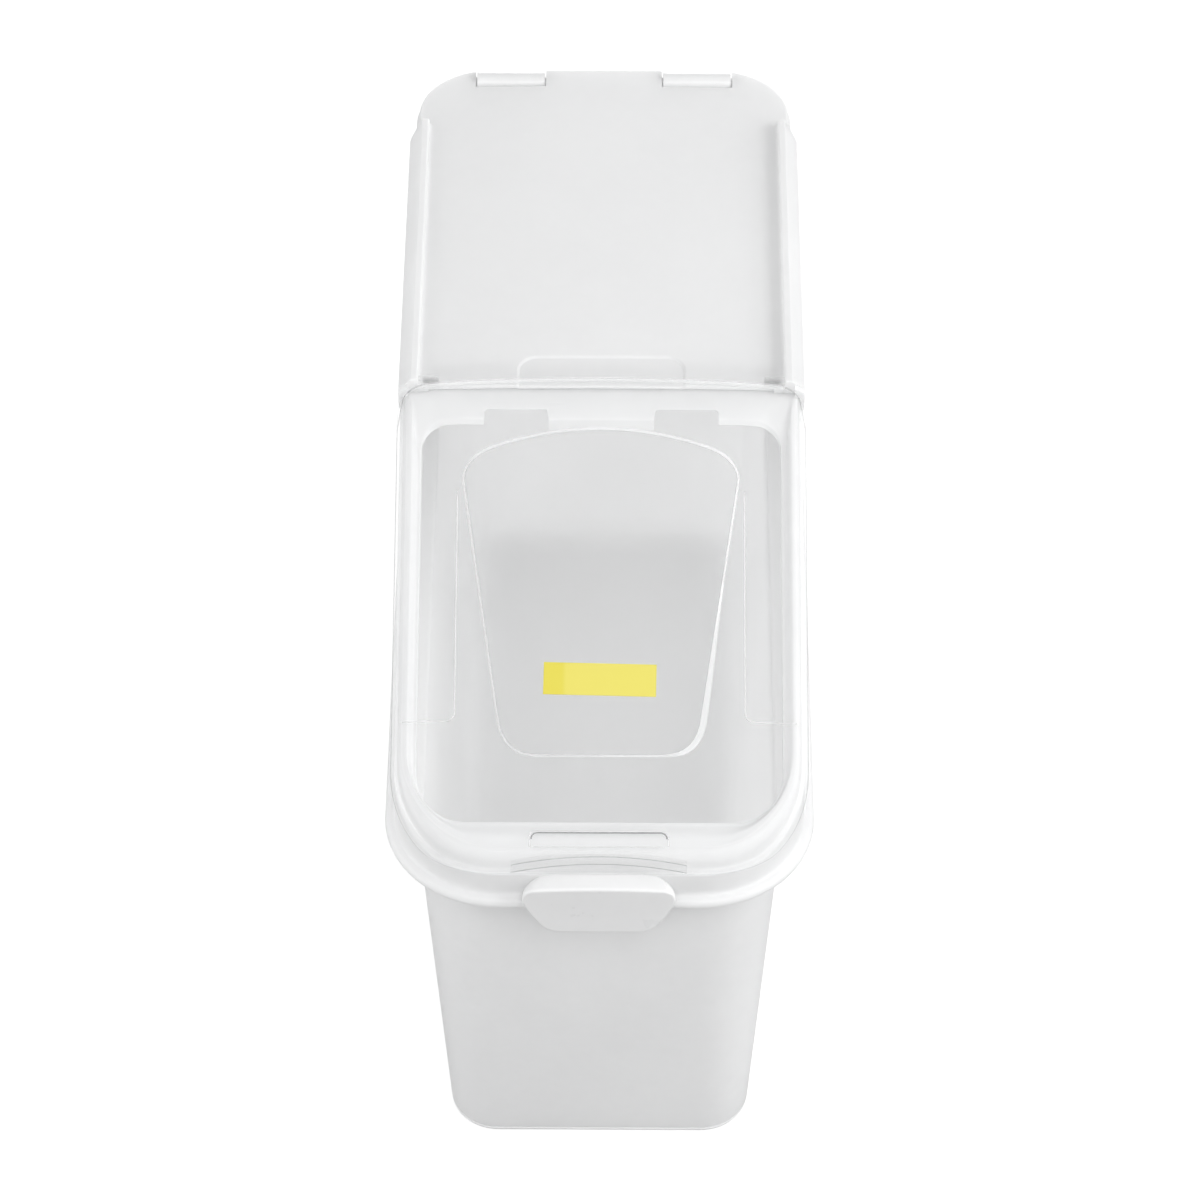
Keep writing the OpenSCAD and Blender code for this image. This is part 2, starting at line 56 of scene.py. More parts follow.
# Heights of the rear cover's face, of the seat below it, and of the clear lid's level rear lip
FACE_Z = 344.0
SEAT_Z = 341.0
LIP_Y, LIP_Z = -2.5, 348.5
SLOPE = math.radians(25.5)
TAN, COS, SIN = math.tan(SLOPE), math.cos(SLOPE), math.sin(SLOPE)

# Tub: wall, base, and the bead with the underside that it shares with the tub's top
WALL, BASE = 3.0, 4.0
BEAD_UNDER, BEAD_TOP, BEAD_OUT = 207.5, 214.5, 5.3

# Mouth: the rim's depth below the lid's face, its flange, the dish in it and the low back wall
RIM_DEPTH = 2.8
FLANGE_T = 2.6
DISH = 3.6
BACK_DROP, BACK_Y = 3.3, 233.0
LEDGE_DEPTH, LEDGE_LOW, LEDGE_HIGH = 12.6, 229.5, 332.4
BAR_BACK = 14.0
NOTCH_START, NOTCH_END, NOTCH_DEPTH = 27.15, 60.25, 5.2

# Rear cover: sheet, crown, rounded edge and finger recess
COVER_HALF, COVER_FRONT, COVER_BACK, COVER_R = 100.5, -2.0, 249.6, 35.0
COVER_PLATE, COVER_EDGE = 2.5, 1.15
CROWN, CROWN_R = 1.8, 2481.0
RECESS_HALF, RECESS_BACK, RECESS_R, RECESS_DEPTH = 43.0, 20.0, 10.0, 0.9

# Rear cover: side rails with their flanges, rods and the slots for the clips
RAIL_TOP, RAIL_BACK, SHOULDER_X = 6.0, 204.7, 99.6
SIDE_X, SIDE_FOOT = 104.75, -11.1
RAMP_START, RAMP_LENGTH, RAMP_IN = 191.5, 12.5, 4.2
RISE_START, RISE_LENGTH, RISE = 190.0, 6.4, 8.6
ROD_R, ROD_Y, ROD_Z, ROD_START, ROD_END = 3.0, 243.7, 341.2, 25.7, 76.3
CLIP_X, SLOT_HALF, SLOT_FRONT = 51.0, 19.3, 235.7

# Clear lid: plate, raised panel, long lines, pocket, lift tab and pin bosses
LID_PLATE = 2.0
LIP_BOW, LIP_BOW_HALF = 4.3, 88.5
SKIRT, SKIRT_FOOT = 13.3, 230.1
PANEL_LIFT, PANEL_TOP, PANEL_ARCH_R = 0.8, 28.8, 151.0
LINE_X, LINE_START, LINE_TURN, LINE_R, LINE_END_X = 73.2, 62.0, 181.0, 4.5, 99.5
POCKET_HALF, POCKET_TOP, POCKET_FOOT, POCKET_R = 34.0, 243.6, 250.9, 3.2
TAB_HALF, TAB_FRONT, TAB_BACK, TAB_TOP, TAB_T = 44.0, -237.2, -230.0, 242.0, 1.9
BOSS_R, BOSS_Y, BOSS_Z, BOSS_START, BOSS_END = 2.7, 1.0, 347.5, 83.5, 92.0

# Front grip
GRIP_HALF, GRIP_FRONT, GRIP_TOP, GRIP_FOOT, GRIP_PLATE = 38.5, -243.5, 227.5, -31.5, 3.3
GRIP_WALL = COLLAR_PLAN[1]


def ease(value):
    """0 to 1 with soft ends."""
    t = np.clip(value, 0.0, 1.0)
    return t * t * (3 - 2 * t)


def soft_least(a, b, blend):
    """The lesser of two heights, rounded over where they cross."""
    h = np.clip(0.5 + 0.5 * (b - a) / blend, 0.0, 1.0)
    return b * (1 - h) + a * h - blend * h * (1 - h)


def forward(y, start, length):
    """0 behind the start, and 1 from the length in front of it on, soft between."""
    return ease((start - y) / length)


def slope_z(y, depth=0.0):
    """Height of the mouth's slope at y, the given depth below the lid's face."""
    return LIP_Z + TAN * (y - LIP_Y) - depth / COS


def lid_z(y):
    """Height of the clear lid's face: level at its rear lip, then sloping."""
    return soft_least(slope_z(y), LIP_Z, 1.2)


def rim_z(y):
    """Height of the bin's rim: the slope, the level cross bar and the low back wall."""
    return soft_least(slope_z(y, RIM_DEPTH), SEAT_Z, 5.0) - BACK_DROP * ease((y - BACK_Y) / 4)


def on_slope(x, down, lift=0.0):
    """A point on the lid's face: across, down the slope from the bend, and lifted off it."""
    return (x, -down * COS - lift * SIN, LIP_Z - LIP_Y * TAN - down * SIN + lift * COS)


# ----------------------------------------------------------
# Mesh making

# Stations of an outline: shares of half a straight end, angles round a corner, and shares of a straight
# side's run behind the bend (above 0) and in front of it (below 0), closer together at the bend
ACROSS = [i / 12 for i in range(12)]
CORNER = [math.radians(a) for a in np.linspace(0, 90, 15)]
ALONG = [0.94, 0.86, 0.78, 0.7, 0.62, 0.54, 0.46, 0.38, 0.31, 0.25, 0.19, 0.14, 0.1, 0.075, 0.055, 0.04,
         0.027, 0.015, 0.005, -0.006, -0.015, -0.025, -0.036, -0.05, -0.065, -0.085, -0.11, -0.14, -0.18,
         -0.24, -0.31, -0.39, -0.47, -0.55, -0.63, -0.71, -0.79, -0.87, -0.94]

# Angles of a rounded edge's quarter turn
QUARTER = np.radians(np.linspace(0, 90, 7))

# How far in an inner outline is drawn, to steer moves between two outlines
STEP_IN = 8.0

# Vertices nearer than this, in metres, are one
MERGE = 2e-6


def outline(plan, inset=0.0, across=ACROSS, along=None):
    """A rounded outline, from the back's middle round the right side, the front and the left side.

    Stations along a side are ALONG, or the given shares of its whole run from the back to the front.
    """
    half, front, back, front_r, back_r = np.subtract(plan, (inset, -inset, inset, inset, inset))
    ya, yb = back - back_r, front + front_r
    if along is None:
        side = [t * ya if t > 0 else -t * yb for t in ALONG]
    else:
        side = [ya + t * (yb - ya) for t in along]
    right = [(t * (half - back_r), back) for t in across]
    right += [(half - back_r + back_r * math.sin(a), ya + back_r * math.cos(a)) for a in CORNER]
    right += [(half, y) for y in side]
    right += [(half - front_r + front_r * math.cos(a), yb - front_r * math.sin(a)) for a in CORNER]
    right += [(t * (half - front_r), front) for t in reversed(across)]
    return both_sides(right)


def both_sides(right):
    """A closed line from its right half, which starts and ends on the middle plane."""
    right = np.array(right, float)
    return np.vstack([right, right[-2:0:-1] * (-1, 1)])


def lifted(plan, z):
    """A plan outline as a ring of points at the height or heights z."""
    return np.column_stack([plan, np.broadcast_to(z, len(plan))])


def on_rim(plan, drop):
    """A plan outline as a ring at the rim's height, less a drop."""
    return lifted(plan, rim_z(plan[:, 1]) - drop)


def on_lid(plan, drop):
    """A plan outline as a ring at the lid's height, less a drop."""
    return lifted(plan, lid_z(plan[:, 1]) - drop)


def moved_in(plan, inner, depth, reach=STEP_IN):
    """The outline moved in by a depth that may vary along it, towards one that lies reach further in."""
    share = np.broadcast_to(np.asarray(depth, float) / reach, len(plan))[:, None]
    return plan + (inner - plan) * share


def squares_to(run):
    """Unit vectors square to the given runs in a plane."""
    run = run / np.maximum(np.hypot(run[:, 0], run[:, 1]), 1e-9)[:, None]
    return np.column_stack([run[:, 1], -run[:, 0]])


def pushed_out(points, distance):
    """A closed line in a plane, moved square to itself."""
    square = squares_to(np.roll(points, -1, axis=0) - np.roll(points, 1, axis=0))
    if np.sum(square * (points - points.mean(axis=0))) < 0:
        square = -square
    return points + square * distance


def bezier(a, b, c, shares):
    """Points of a curve from a to c that b draws towards itself."""
    a, b, c = np.array(a), np.array(b), np.array(c)
    return [tuple((1 - k) ** 2 * a + 2 * k * (1 - k) * b + k * k * c) for k in shares]


def arc_points(cx, cz, r, start, end, count):
    turn = np.radians(np.linspace(start, end, count))
    return [(cx + r * math.cos(a), cz + r * math.sin(a)) for a in turn]


def rod_rings(side, stations, y, z, count):
    """Rings of a round bar across the bin; each station is a distance from the middle and a radius."""
    turn = np.linspace(0, 2 * math.pi, count, endpoint=False)
    return [[(side * x, y + r * math.cos(a), z + r * math.sin(a)) for a in turn] for x, r in stations]


class Surface:
    """Rings and faces that become one piece. A finish is its place in the piece's list of finishes."""

    def __init__(self):
        self.points, self.faces, self.finish_of = [], [], []

    def ring(self, points):
        start = len(self.points)
        self.points.extend([tuple(map(float, p)) for p in points])
        return list(range(start, len(self.points)))

    def skin(self, rings, finish=0, closed=True, last_to_first=False):
        """Rings of points joined one to the next; closed says whether each ring runs back to its start."""
        return self.join([self.ring(r) for r in rings], finish, closed, last_to_first)

    def join(self, rows, finish=0, closed=True, last_to_first=False):
        pairs = list(zip(rows, rows[1:]))
        if last_to_first:
            pairs.append((rows[-1], rows[0]))
        for a, b in pairs:
            for i in range(len(a) if closed else len(a) - 1):
                j = (i + 1) % len(a)
                self.face((a[i], a[j], b[j], b[i]), finish if np.isscalar(finish) else finish[i])
        return rows

    def bar(self, rings, finish=0, end_finish=0):
        """Closed rings joined one to the next, with both ends filled."""
        rows = self.skin(rings, finish)
        self.face(rows[0], end_finish)
        self.face(rows[-1], end_finish)

    def face(self, corners, finish=0):
        self.faces.append(tuple(corners))
        self.finish_of.append(finish)

    def cap(self, row, finish=0):
        """Fills a ring that is the same left and right with strips from side to side."""
        count = len(row)
        for i in range(count // 2):
            corners = [row[i], row[i + 1], row[(count - i - 1) % count], row[(count - i) % count]]
            self.face(list(dict.fromkeys(corners)), finish)

    def piece(self, name, body, finishes, replaces=()):
        mesh = bpy.data.meshes.new(name)
        points = np.array(self.points)
        points[:, 1] += BEND_Y
        mesh.from_pydata((points / 1000).tolist(), [], self.faces)
        mesh.polygons.foreach_set("material_index", self.finish_of)
        for finish in finishes:
            mesh.materials.append(finish)
        work = bmesh.new()
        work.from_mesh(mesh)
        bmesh.ops.remove_doubles(work, verts=work.verts, dist=MERGE)
        bmesh.ops.dissolve_degenerate(work, edges=work.edges, dist=MERGE)
        bmesh.ops.recalc_face_normals(work, faces=work.faces)
        for f in work.faces:
            f.smooth = True
        work.to_mesh(mesh)
        work.free()
        mesh.update()
        obj = bpy.data.objects.new(name, mesh)
        bpy.context.scene.collection.objects.link(obj)
        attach(obj, body)
        if replaces:
            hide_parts(*replaces)
        return obj


def weigh_normals(obj, keep_sharp):
    """Large faces lead the shading of the small ones beside them."""
    weighted = obj.modifiers.new("even_shading", "WEIGHTED_NORMAL")
    weighted.keep_sharp = keep_sharp
    weighted.weight = 60


def even_shading(obj, angle):
    """Flat faces stay flat beside their rounded edges; edges sharper than the angle stay sharp."""
    obj.data.set_sharp_from_angle(angle=math.radians(angle))
    weigh_normals(obj, True)


def soften(obj, width):
    """Rounds the edges of a solid that comes from the frame."""
    for p in obj.data.polygons:
        p.use_smooth = True
    weld = obj.modifiers.new("weld", "WELD")
    weld.merge_threshold = 2e-5
    bevel = obj.modifiers.new("edge_round", "BEVEL")
    bevel.width = width / 1000
    bevel.segments = 3
    bevel.limit_method = "ANGLE"
    bevel.angle_limit = math.radians(38)
    bevel.use_clamp_overlap = True
    weigh_normals(obj, False)


def cut_out(obj, low, high):
    """Cuts a box-shaped slot, in millimetres from the bend, out of a closed piece."""
    work = bmesh.new()
    bmesh.ops.create_cube(work, size=1.0)
    for v in work.verts:
        v.co = Vector([low[i] + (v.co[i] + 0.5) * (high[i] - low[i]) for i in range(3)])
        v.co.y += BEND_Y
        v.co /= 1000
    mesh = bpy.data.meshes.new("slot_cutter")
    work.to_mesh(mesh)
    work.free()
    cutter = bpy.data.objects.new("slot_cutter", mesh)
    bpy.context.scene.collection.objects.link(cutter)
    cut = obj.modifiers.new("slot", "BOOLEAN")
    cut.object, cut.operation, cut.solver = cutter, "DIFFERENCE", "EXACT"
    bpy.context.view_layer.update()
    done = bpy.data.meshes.new_from_object(obj.evaluated_get(bpy.context.evaluated_depsgraph_get()))
    obj.modifiers.remove(cut)
    obj.data = done
    bpy.data.objects.remove(cutter)


# ----------------------------------------------------------
# Finishes


class Wire:
    """A shader socket that Python's operators work on."""

    def __init__(self, nodes, socket):
        self.nodes, self.socket = nodes, socket

    def join(self, operation, other, turned=False):
        pair = (other, self) if turned else (self, other)
        return self.nodes.node("ShaderNodeMath", {"operation": operation}, {0: pair[0], 1: pair[1]})

    def __add__(self, other):
        return self.join("ADD", other)

    def __radd__(self, other):
        return self.join("ADD", other, True)

    def __sub__(self, other):
        return self.join("SUBTRACT", other)

    def __rsub__(self, other):
        return self.join("SUBTRACT", other, True)

    def __mul__(self, other):
        return self.join("MULTIPLY", other)

    def __rmul__(self, other):
        return self.join("MULTIPLY", other, True)

    def __pow__(self, other):
        return self.join("POWER", other)

    def __rpow__(self, other):
        return self.join("POWER", other, True)

    def least(self, other):
        return self.join("MINIMUM", other)

    def most(self, other):
        return self.join("MAXIMUM", other)

    def between(self, low, high):
        """0 below low, 1 above high, soft between."""
        return self.nodes.node("ShaderNodeMapRange", {"interpolation_type": "SMOOTHSTEP"},
                               {"Value": self, "From Min": low, "From Max": high})


class Nodes:
    """A node tree, emptied and built up again from Python."""

    def __init__(self, tree, out):
        self.tree = tree
        tree.nodes.clear()
        self.out = tree.nodes.new(out)

    def node(self, kind, settings=None, values=None, output=0):
        made = self.tree.nodes.new(kind)
        for key, value in (settings or {}).items():
            setattr(made, key, value)
        for key, value in (values or {}).items():
            self.feed(made.inputs[key], value)
        return Wire(self, made.outputs[output])

    def feed(self, socket, value):
        if isinstance(value, Wire):
            self.tree.links.new(value.socket, socket)
        else:
            socket.default_value = value

    def show(self, shader):
        self.feed(self.out.inputs[0], shader)

    def ray(self, kind):
        """1 for light paths of a kind, such as Is Camera Ray, and 0 for the rest."""
        return self.node("ShaderNodeLightPath", output=kind)


class Finish(Nodes):
    """One procedural material."""

    def __init__(self, name):
        self.material = bpy.data.materials.new(name)
        self.material.use_nodes = True
        super().__init__(self.material.node_tree, "ShaderNodeOutputMaterial")
        self.shader = self.node("ShaderNodeBsdfPrincipled")
        self.show(self.shader)
        self.place = self.node("ShaderNodeTexCoord", output="Object")

    def set(self, **values):
        inputs = self.shader.socket.node.inputs
        for key, value in values.items():
            self.feed(inputs[key.replace("_", " ").title().replace("Ior", "IOR")], value)

    def glow_through(self, colour, share):
        """Lets the share of the light pass on through a thin wall, scattered."""
        passed = self.node("ShaderNodeBsdfTranslucent", {}, {"Color": colour})
        self.show(self.node("ShaderNodeMixShader", {}, {0: share, 1: self.shader, 2: passed}))

    def noise(self, scale, detail, rough, place=None):
        values = {"Vector": place or self.place, "Scale": scale, "Detail": detail, "Roughness": rough}
        return self.node("ShaderNodeTexNoise", {"noise_dimensions": "3D"}, values)

    def streaks(self, detail, rough, across, along, up):
        """Noise drawn out into streaks, by its scale in X, Y and Z."""
        stretched = self.node("ShaderNodeMapping", {}, {"Vector": self.place, "Scale": (across, along, up)})
        return self.noise(1.0, detail, rough, stretched)

    def tint(self, share, dark, light):
        return self.node("ShaderNodeMix", {"data_type": "RGBA", "clamp_factor": True},
                         {0: share, 6: (*dark, 1.0), 7: (*light, 1.0)}, output=2)

    def bump(self, height, strength, depth):
        return self.node("ShaderNodeBump", {}, {"Height": height, "Strength": strength, "Distance": depth})


def white_plastic(name, dark, light, rough, through=0.0):
    """Moulded white plastic: cloudy tone, satin grain, a few long scuffs; through is its share of glow."""
    f = Finish(name)
    cloud = f.noise(9.0, 3.0, 0.55)
    mottle = f.noise(140.0, 2.0, 0.6)
    pores = f.noise(1500.0, 2.0, 0.55)
    scuffs = f.streaks(4.0, 0.65, 30.0, 160.0, 420.0).between(0.6, 0.74)
    swirl = f.streaks(3.0, 0.6, 380.0, 45.0, 120.0).between(0.62, 0.75)
    wear = scuffs * 0.6 + swirl * 0.4
    tone = cloud * 0.65 + mottle * 0.25 + pores * 0.1
    grain = pores * 0.55 + mottle * 0.3 + cloud * 1.2 - wear * 0.15
    f.set(base_color=f.tint(tone.between(0.34, 0.66) - wear * 0.3, dark, light),
          roughness=rough + (mottle - 0.5) * 0.14 + wear * 0.12,
          normal=f.bump(grain, 0.14, 0.0004),
          specular_ior_level=0.42)
    if through:
        passed = [min(c * 1.1, 0.95) for c in light]
        f.glow_through((*passed, 1.0), through + (cloud - 0.5) * 0.08)
    return f.material


def clear_plastic(name, body, edge, rough, tint):
    """Clear moulded plastic: its alpha is body face on, and edge where it curves away."""
    f = Finish(name)
    haze = f.noise(22.0, 3.0, 0.6)
    specks = f.noise(620.0, 2.0, 0.5)
    rubs = f.streaks(3.0, 0.6, 70.0, 520.0, 520.0).between(0.63, 0.76)
    facing = f.node("ShaderNodeLayerWeight", {}, {"Blend": 0.35}, output="Facing")
    cover = body + (edge - body) * facing ** 2.2 + (haze - 0.5) * 0.03 + rubs * 0.02
    f.set(base_color=f.tint(haze, [c * 0.97 for c in tint], tint),
          roughness=rough + (haze - 0.5) * 0.06 + rubs * 0.1,
          alpha=cover.most(0.01).least(1.0),
          normal=f.bump(haze + specks * 0.12, 0.08, 0.0006),
          specular_ior_level=0.6)
    return f.material


def label_film(name):
    """Bare yellow label: flat film with a faintly deeper left end."""
    f = Finish(name)
    across = f.node("ShaderNodeSeparateXYZ", {}, {0: f.place}, output="X")
    fibres = f.noise(900.0, 2.0, 0.5)
    patch = f.noise(60.0, 2.0, 0.5)
    end = 1.0 - across.between(-0.0195, -0.0165)
    tone = end * 0.85 + (patch - 0.5) * 0.25 + (fibres - 0.5) * 0.1
    f.set(base_color=f.tint(tone, (0.69, 0.615, 0.111), (0.65, 0.565, 0.053)),
          roughness=0.42 + (patch - 0.5) * 0.12,
          normal=f.bump(fibres * 0.3 + patch, 0.06, 0.0003))
    return f.material


# The tub's inside is a lighter copy of the tub's white, painted light.
TUB_INSIDE_PAINTED_LIGHT = white_plastic("Tub_Inside_Painted_Light", (0.91, 0.912, 0.915), (0.935, 0.937, 0.94), 0.4, 0.5)
TUB = white_plastic("Tub_White", (0.82, 0.823, 0.827), (0.865, 0.868, 0.87), 0.36, 0.4)
# The rim's white is a darker copy of the tub's, painted shade.
RIM_PAINTED_SHADE = white_plastic("Rim_White_Painted_Shade", (0.80, 0.803, 0.807), (0.84, 0.843, 0.845), 0.33, 0.22)
COVER = white_plastic("Cover_White", (0.84, 0.843, 0.846), (0.87, 0.873, 0.875), 0.34, 0.45)
# The grip's white is a lighter copy of the tub's, painted light.
GRIP_PAINTED_LIGHT = white_plastic("Grip_White_Painted_Light", (0.87, 0.872, 0.875), (0.9, 0.902, 0.904), 0.3, 0.2)
# The clips' white is a darker copy of the bin's, painted shade.
CLIP_PAINTED_SHADE = white_plastic("Clip_White_Painted_Shade", (0.7, 0.702, 0.705), (0.73, 0.732, 0.735), 0.34)
CLEAR = clear_plastic("Lid_Clear", 0.07, 0.25, 0.09, (0.93, 0.94, 0.945))
# Whitened clear plastic, painted highlight on the rear lip's edges, the panel step's arch and lower right
# side, and the tab's end faces.
CLEAR_EDGE_PAINTED_HIGHLIGHT = clear_plastic("Lid_Edge_Painted_Highlight", 0.42, 0.9, 0.16, (0.95, 0.955, 0.96))
# Whitened clear plastic on the lid's raised lines and the panel's step: real relief, drawn with a painted
# highlight.
CLEAR_LINE_PAINTED_HIGHLIGHT = clear_plastic("Lid_Line_Painted_Highlight", 0.32, 0.7, 0.12, (0.95, 0.955, 0.96))
CLEAR_ROLL = clear_plastic("Lid_Roll", 0.12, 0.45, 0.1, (0.93, 0.94, 0.945))
# Dark grey clear plastic, painted shade on the skirt's lower edge, the rear lip's back face, the pocket's
# upper line and the tab's lower edge.
CLEAR_PAINTED_SHADE = clear_plastic("Lid_Painted_Shade", 0.4, 0.6, 0.14, (0.22, 0.225, 0.23))
# Lighter grey clear plastic, a faint painted shade line inside the raised panel's step.
CLEAR_FAINT_PAINTED_SHADE = clear_plastic("Lid_Faint_Painted_Shade", 0.14, 0.4, 0.14, (0.3, 0.305, 0.31))
CLEAR_INNER = clear_plastic("Lid_Inner", 0.012, 0.05, 0.12, (0.9, 0.91, 0.915))
CLEAR_PIN = clear_plastic("Pin_Clear", 0.1, 0.3, 0.12, (0.8, 0.805, 0.81))
LABEL = label_film("Label_Yellow")

# ----------------------------------------------------------
# Bin tub

# Profiles: how far a ring lies in from its outline, and its height
TUB_PROFILE = ((5.5, 0.0), (3.2, 0.0), (1.7, 0.35), (0.7, 1.1), (0.2, 2.1), (0.1, 2.7), (0.9, 2.95),
               (1.0, 3.6), (0.3, 4.0), (0.0, 4.6), (0.0, 9.0), (0.0, 40.0), (0.0, 80.0), (0.0, 120.0),
               (0.0, 160.0), (0.0, 190.0), (0.0, 202.0), (0.0, 204.6), (-0.35, 206.0), (-1.1, 207.0),
               (-2.6, BEAD_UNDER))
BEAD_PROFILE = ((4.2, BEAD_UNDER), (2.6, 207.7), (1.3, 208.4), (0.4, 209.6), (0.0, 211.0), (0.25, 212.3),
                (0.95, 213.5), (2.0, 214.2), (3.2, BEAD_TOP))
COLLAR_FOOT_PROFILE = ((-1.4, 214.55), (-0.6, 214.9), (-0.15, 215.7), (0.0, 217.0))
INNER_COLLAR_PROFILE = ((WALL, 222.0), (WALL, 214.0), (3.3, 212.0), (4.2, 210.9), (5.6, 210.5))
INNER_STEP_PROFILE = ((1.0, 210.5), (2.2, 210.1), (2.9, 209.2))
INNER_TUB_PROFILE = ((WALL, 206.0), (WALL, 160.0), (WALL, 110.0), (WALL, 60.0), (WALL, 34.0), (3.2, 26.0),
                     (4.1, 18.5), (6.0, 12.5), (9.0, 8.2), (13.0, 5.4), (18.0, 4.2), (22.0, BASE),
                     (24.0, BASE))

# Collar up to its ledge: how far a ring lies in, its drop below the ledge, and its share of REAR_CORNER_IN
BAND_PROFILE = ((0.0, 34.0, 0.0), (0.0, 24.0, 0.2), (0.0, 14.0, 0.7), (0.0, 6.0, 0.97), (0.0, 1.0, 1.0),
                (0.2, 0.35, 1.0), (0.7, 0.05, 1.0), (1.2, 0.0, 1.0))
BAND_FOOT = 217.2
REAR_CORNER_IN = 3.3

# Stations across the cross bar, closer together at the notches
BAR_STATIONS = (0, 9, 17, 23, 26.4, 27.1, 27.2, 27.6, 28.6, 31, 38, 46, 54, 58.8, 59.8, 60.2, 60.3, 61, 66,
                73)
BAR_ACROSS = [x / (MOUTH_PLAN[0] - MOUTH_PLAN[4]) for x in BAR_STATIONS]
BAR_ALONG = [0.01, 0.025, 0.04, 0.055, 0.07, 0.085, 0.1, 0.12, 0.14, 0.17] + [i / 25 for i in range(5, 25)]

# Places in the tub's list of finishes: the flange's white is painted shade, the inside's painted light
OUTSIDE, FLANGE, INSIDE = range(3)


def tub_plan(z, inset=0.0):
    """Outline of the tapered tub at a height."""
    lean = z / BEAD_UNDER
    return outline([foot + (top - foot) * lean for foot, top in zip(FOOT_PLAN, TUB_TOP_PLAN)], inset)


def ledge_z(y):
    """Height of the ledge round the rim, which the lid and the rear cover hang over."""
    return np.clip(slope_z(y, LEDGE_DEPTH), LEDGE_LOW, LEDGE_HIGH)


def rim_round(y):
    """Radius of the rim's outer edge: small at the back, large round the mouth's front."""
    return 1.4 + 2.6 * forward(y, 2, 14) + 1.4 * forward(y, -165, 50)


def tub_outside():
    """Rings up the outside: tub, bead, collar, ledge and the rim's rounded edge."""
    rings = [lifted(tub_plan(z, inset), z) for inset, z in TUB_PROFILE]
    rings += [lifted(outline(COLLAR_PLAN, inset - BEAD_OUT), z) for inset, z in BEAD_PROFILE]
    rings += [lifted(outline(COLLAR_PLAN, inset), z) for inset, z in COLLAR_FOOT_PROFILE]

    outer, inner = outline(COLLAR_PLAN), outline(COLLAR_PLAN, STEP_IN)
    rear_corner = ease((outer[:, 1] - 186) / 20) * ease((np.abs(outer[:, 0]) - 62) / 26)
    for inset, drop, share in BAND_PROFILE:
        plan = moved_in(outer, inner, inset + REAR_CORNER_IN * rear_corner * share)
        foot = BAND_FOOT + 0.02 * (BAND_PROFILE[0][1] - drop)
        rings.append(lifted(plan, np.maximum(ledge_z(plan[:, 1]) - drop, foot)))

    outer, inner = outline(WALL_PLAN), outline(WALL_PLAN, STEP_IN)
    for inset, rise in ((-0.7, 0.0), (-0.25, 0.25), (0.0, 0.9)):
        plan = moved_in(outer, inner, inset + REAR_CORNER_IN * rear_corner * 0.6)
        rings.append(lifted(plan, ledge_z(plan[:, 1]) + rise))
    r = rim_round(outer[:, 1])
    for a in QUARTER:
        plan = moved_in(outer, inner, r * (1 - math.cos(a)))
        rings.append(on_rim(plan, r * (1 - math.sin(a))))

    # Down again under the flange, further where the rim is thick
    thick = ease((r - 1.5) / 2)
    for least, drop, more in ((1.7, 0.0, 0.0), (2.5, 0.4, 1.4), (2.9, 1.0, 2.2)):
        plan = moved_in(outer, inner, np.maximum(r + 0.1, least))
        rings.append(on_rim(plan, drop + more * thick))
    return rings


def tub_inside():
    """Rings down the inside, from below the flange to the floor."""
    wall = outline(WALL_PLAN, WALL)
    rings = [on_rim(wall, drop) for drop in (4.0, 8.0)]
    rings += [lifted(outline(WALL_PLAN, inset), z) for inset, z in INNER_COLLAR_PROFILE]
    rings += [lifted(tub_plan(BEAD_UNDER, inset), z) for inset, z in INNER_STEP_PROFILE]
    rings += [lifted(tub_plan(z, inset), z) for inset, z in INNER_TUB_PROFILE]
    return rings


def mouth(grow):
    """The mouth's edge in plan, with the cross bar's two notches and the tongue between them."""
    plan = outline(MOUTH_PLAN, -grow, BAR_ACROSS, BAR_ALONG)
    x = np.abs(plan[:, 0])
    on_bar = np.isclose(plan[:, 1], MOUTH_PLAN[2] + grow)
    notch = on_bar & (x > NOTCH_START - grow * 0.4) & (x < NOTCH_END + grow * 0.4)
    corner = np.minimum(x - NOTCH_START, NOTCH_END - x) < 1.0
    plan[notch, 1] += np.where(corner[notch], NOTCH_DEPTH - 0.9, NOTCH_DEPTH)
    return plan


def dish(plan, share):
    """Depth of the flange's dish at a share of the way from the rim's crest to the mouth."""
    x, y = np.abs(plan[:, 0]), plan[:, 1]
    place = forward(y, -3, 28) * np.maximum(forward(y, -19, 8), ease((x - 76) / 12))
    start = 0.1 + 0.22 * forward(y, -195, 15)
    return DISH * place * ease((share - start) / 0.66)


